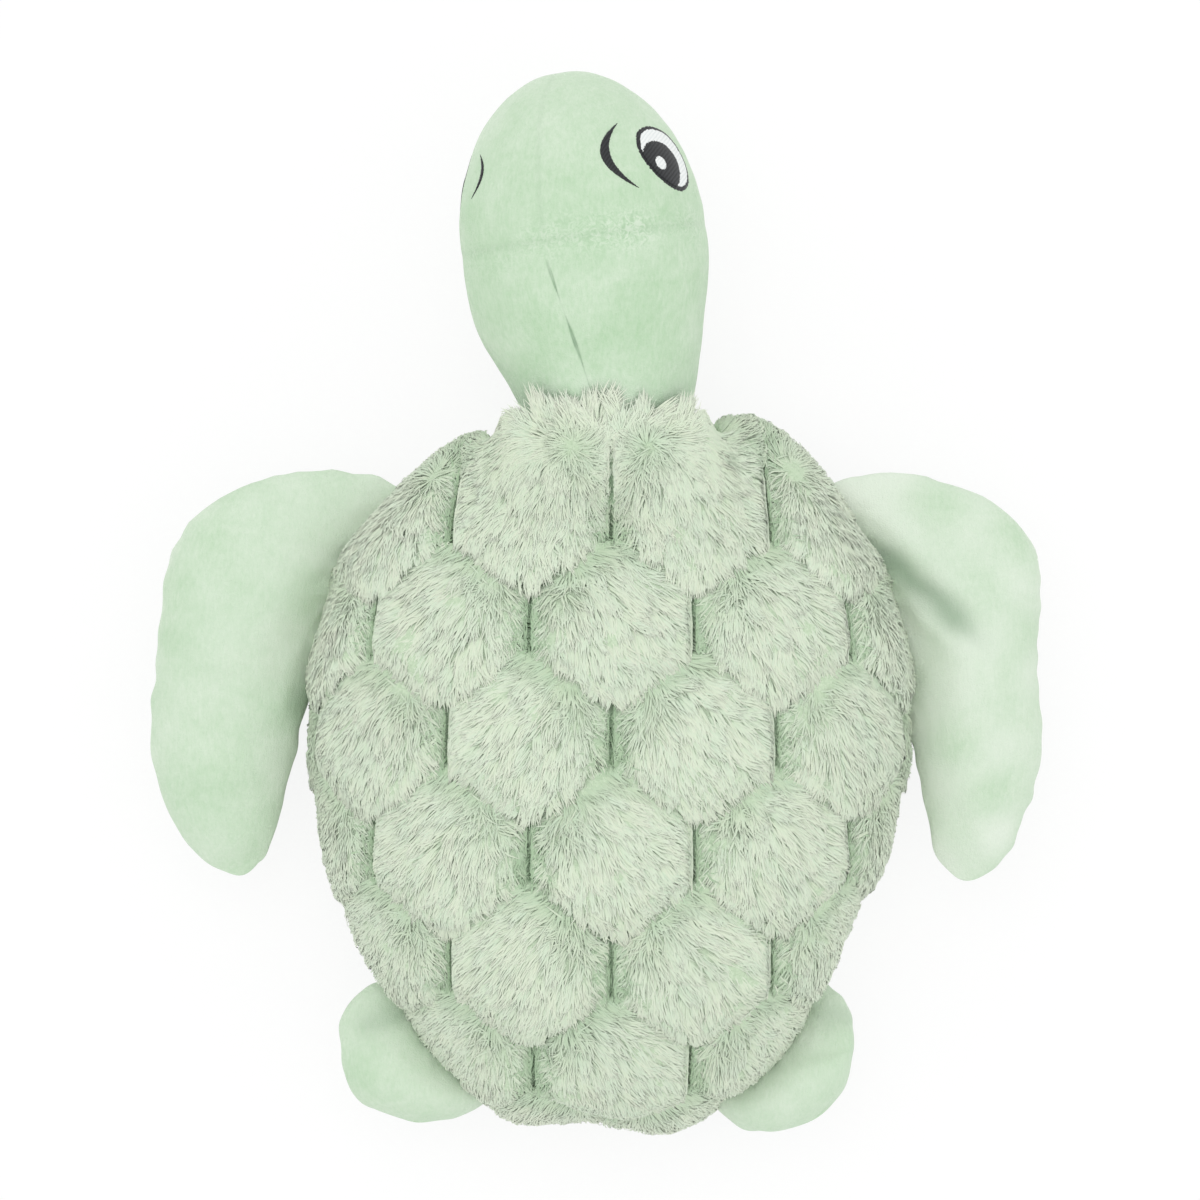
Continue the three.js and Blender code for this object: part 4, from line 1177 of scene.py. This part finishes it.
def scatterPile(draw):
    # Base places, thinned out where the pattern crowds together on the sides, and more in the fringe
    reach = rimArc * 1.12
    count = int(pile["density"] * (2 * reach) ** 2)
    gx, gy = draw.uniform(-reach, reach, count), draw.uniform(-reach, reach, count) + body["centreY"]
    crowd, _ = crowding(gx, gy)
    crowd = crowd + (1 - crowd) * hoodShare(gx, gy)
    keep = np.hypot(gx, gy - body["centreY"]) < patternReach(gx, gy, rimArc)
    keep = keep & (draw.uniform(0, 1, count) < np.clip(crowd * 1.08, 0, 1))
    gx, gy = gx[keep], gy[keep]
    share, start = hood["thick"]
    fringe = (hoodShare(gx, gy) > share) & (gy > start)
    apart = 0.7
    moreX, moreY = ([part[fringe] + draw.normal(0, apart, fringe.sum()) - back for _ in range(2)]
                    for part, back in ((gx, 0), (gy, apart)))
    return np.concatenate([gx, *moreX]), np.concatenate([gy, *moreY])


def lockOf(gx, gy, row):
    # The lock that a strand belongs to, as the lock's place and three numbers of its own
    size = pile["lock"]
    cellX, cellY = np.floor(gx / size), np.floor(gy / size)
    code = np.abs(np.sin(cellX * 127.1 + cellY * 311.7 + row * 74.7)) * 43758.5453
    first, second, third = (np.mod(code * k, 1) for k in (1, 7.13, 13.7))
    return (cellX + 0.2 + 0.6 * first) * size, (cellY + 0.2 + 0.6 * second) * size, first, second, third


def heldInPlate(px, middle, start, free):
    # Strands bend aside rather than cross a slit
    half, room = scute["width"] / 2 - pile["slitWidth"] / 2, pile["slitRoom"]
    aside = px - middle[:, None]
    over = np.maximum(np.abs(aside) - half + room, 0)
    held = np.sign(aside) * np.minimum(half - room + room * (1 - np.exp(-over / room)), half)
    held = np.where(over > 0, held, aside)
    inPlate = (np.abs(start - middle) < half)[:, None] * (1 - free[:, None])
    return middle[:, None] + aside + (held - aside) * inPlate


def pileNormals(px, py, row, middle):
    # Which way the plate's surface faces under each place of each strand. Where the cloth turns from the
    # back to the neck it is straight outwards instead, and in the fringe it leans up.
    py = np.where(hoodShare(px, py) > 0.3, np.minimum(py, hoodEnd(px) - 2), py)
    share, step = hoodShare(px, py), 1.5
    spots = []
    for dx, dy in ((0, 0), (step, 0), (0, step)):
        height, _, _ = plateHeight(px + dx, py + dy, row[:, None], middle[:, None])
        spots.append(shellSpot(px + dx, py + dy, height))
    normal = unit(np.cross(spots[1] - spots[0], spots[2] - spots[0]))
    outward = unit(spots[0] - np.array([0, body["centreY"], -60]))
    between = np.clip(6 * share * (1 - share), 0, 1)[..., None]
    normal = normal * (1 - between) + outward * between
    normal[..., 2] += 0.9 * share * ease(py, 112, 126)
    return unit(normal)


def growPile(gx, gy, draw):
    # Centre lines of the strands, with what their colour and shading take from the place they grow at
    count, row = len(gx), rowAt(gx, gy)
    middle = plateMiddle(gx, row)
    x, y, down, messy = combing(gx, gy, row, middle)
    _, curly, share = plateHeight(gx, gy, row, middle)
    over = fringeShare(gx, gy)
    # Painted shade: darker in the low curly pile, at a plate's front under the edge of the row before, and
    # at the whorls. There is none over the neck except at the whorls
    painted_shade = 0.75 * curly + 0.4 * (1 - ease(share, 0.02, 0.16)) * (1 - down)
    painted_shade = np.clip(painted_shade * (1 - hoodShare(gx, gy)) + 0.25 * messy, 0, 1)
    # Direction: that of the comb, turned a little with the lock and by itself
    lockX, lockY, first, second, third = lockOf(gx, gy, row)
    spread = pile["lockTurn"] + pile["fringeTurn"] * over
    turn = np.radians((third - 0.5) * spread + draw.normal(0, pile["stray"], count)
                      + draw.normal(0, pile["curlyTurn"], count) * np.maximum(curly, messy))
    x, y = x * np.cos(turn) - y * np.sin(turn), x * np.sin(turn) + y * np.cos(turn)
    # Length: shorter where the pile is curly, and ending near the plate's rear edge
    length = pile["length"] * draw.uniform(*pile["lengths"], count) * (0.85 + 0.3 * first)
    length = length + (pile["curlyLength"] * draw.uniform(*pile["curlyLengths"], count) - length) * curly
    length = length * (1 - 0.35 * messy)
    past = pile["past"] + 4 * (first - 0.3) + draw.normal(0, 0.8, count)
    past = past + 2.5 * np.maximum(slitWave(gx, row + 1), 0) ** 3
    room = np.maximum((gy - edgeY(gx, row + 1) + past) / np.maximum(-y, 0.25), pile["leastLength"])
    length = np.where((y < -0.2) & (down < 0.6), np.minimum(length, room), length)
    length = length * (1 - 0.35 * over * draw.uniform(0, 1, count))
    # Course on the pattern: a slight bend, closing up to the lock and staying in the plate
    steps = np.array(pile["steps"])
    bend = draw.normal(0, pile["strayBend"], count) + pile["lockTurn"] * (second - 0.5)
    bend = np.radians(bend)[:, None] * steps
    gone = steps * length[:, None]
    px = gx[:, None] + gone * (x[:, None] * np.cos(bend) - y[:, None] * np.sin(bend))
    py = gy[:, None] + gone * (y[:, None] * np.cos(bend) + x[:, None] * np.sin(bend))
    together = pile["gather"] * steps ** 1.3 * (1 - 0.5 * over[:, None])
    px, py = px + (lockX - gx)[:, None] * together, py + (lockY - gy)[:, None] * together
    px = heldInPlate(px, middle, gx, np.maximum(0.4 * down, over))
    # Height: over its own plate and over the one that it reaches
    own, _, _ = plateHeight(px, py, row[:, None], middle[:, None])
    under = rowAt(px, py)
    ground, _, _ = plateHeight(px, py, under, plateMiddle(px, under))
    stand = draw.uniform(*pile["stand"], count) * (0.7 + 0.6 * second) * (1 + 1.2 * down + 0.5 * messy)
    rise = np.array([0, *pile["rise"]]) * stand[:, None]
    rise[:, 0] = -pile["sunk"]
    rise += (over * draw.uniform(-0.2, 1, count) * (0.5 + second))[:, None] * np.array([0, 0.8, 0.7, 0])
    height = np.maximum(own + rise, ground + np.array([-pile["sunk"], *pile["clear"]]))
    # Strands down the sides and in the fringe are painted paler, nearer their tips' colour and in the warmer
    # palette, as painted light where they lie in shade
    pale = 0.4 * down + 0.25 * over
    return {"paths": shellSpot(px, py, np.maximum(height, 0.2)), "normals": pileNormals(px, py, row, middle),
            "row": row, "painted_shade": painted_shade, "tone": first + 0.5 * pale, "pale": pale}


def strandMesh(paths, normals, widths):
    # Three-sided flat tapered tubes along the paths, each closed at its root and at its tip. Their shading
    # normals lean to the plate's own, because light goes through real fibre and evens it out.
    count, rings = len(paths), paths.shape[1] - 1
    run = unit(np.gradient(paths, axis=1))
    across = unit(np.cross(run, normals))
    up = np.cross(across, run)
    taper = np.array(pile["taper"])[:, None] * widths[:, None, None] / 2
    sides = np.stack([across, -across, up], 2)[:, :rings]
    thick = np.array([1, 1, pile["flatness"] * 2])[:, None]
    ring = paths[:, :rings, None] + sides * taper[:, :, None] * thick
    points = np.concatenate([ring.reshape(count, -1, 3), paths[:, -1:]], 1)
    each, last = rings * 3 + 1, (rings - 1) * 3
    quads = [(k * 3 + i, k * 3 + (i + 1) % 3, k * 3 + 3 + (i + 1) % 3, k * 3 + 3 + i)
             for k in range(rings - 1) for i in range(3)]
    tips = [(last + i, last + (i + 1) % 3, each - 1) for i in range(3)] + [(2, 1, 0)]
    base = (np.arange(count) * each)[:, None, None]
    faces = [(np.array(shape)[None] + base).reshape(-1, len(shape[0])) for shape in (quads, tips)]
    along = np.concatenate([np.repeat(pile["steps"][:-1], 3), [1.0]])
    own = np.concatenate([sides.reshape(count, -1, 3), up[:, -1:]], 1)
    under = np.concatenate([np.repeat(normals[:, :rings], 3, 1), normals[:, -1:]], 1)
    lit = unit(own * (1 - pile["softness"]) + under * pile["softness"])
    return points.reshape(-1, 3), faces, np.tile(along, count), lit.reshape(-1, 3)


def addStrands(name, strands, bends):
    points, faces, along, lit = strandMesh(strands["paths"], strands["normals"], strands["widths"])
    each = len(points) // len(strands["paths"])
    tone, painted_shade, pale = (np.repeat(strands[key], each) for key in ("tone", "painted_shade", "pale"))
    # The pale share moves each point's colour towards the tip's, as painted light
    piece = meshPiece(name, points, faces, fur, None if bends else "body", "long_pile",
                      {"along": along + pale * (1 - along), "tone": tone, "painted_shade": painted_shade})
    piece.data.normals_split_custom_set_from_vertices(lit)
    if bends:
        bendWithNeck(piece)


def addPile():
    # One piece for each half row, without the strands that would stand in the neck
    draw = np.random.default_rng(21)
    gx, gy = scatterPile(draw)
    strands = growPile(gx, gy, draw)
    keep = (neckGap(strands["paths"]).min(1) > 0.3) | (hoodShare(gx, gy) > 0.4)
    strands["widths"] = pile["width"] * draw.uniform(*pile["widths"], len(gx))
    strands["tone"] = np.clip(0.2 + 0.6 * strands["tone"] + draw.normal(0, 0.15, len(gx)), 0, 1)
    for k in range(scute["rows"]):
        inRow = keep & (strands["row"] == k)
        for side, half in (("left", gx < 0), ("right", gx >= 0)):
            chosen = {key: values[inRow & half] for key, values in strands.items()}
            addStrands(f"pile_row_{k + 1}_{side}", chosen, k < 1)
        print(f"row {k + 1}: {inRow.sum()} strands")


addPlates()
addPile()
print("pile ready")
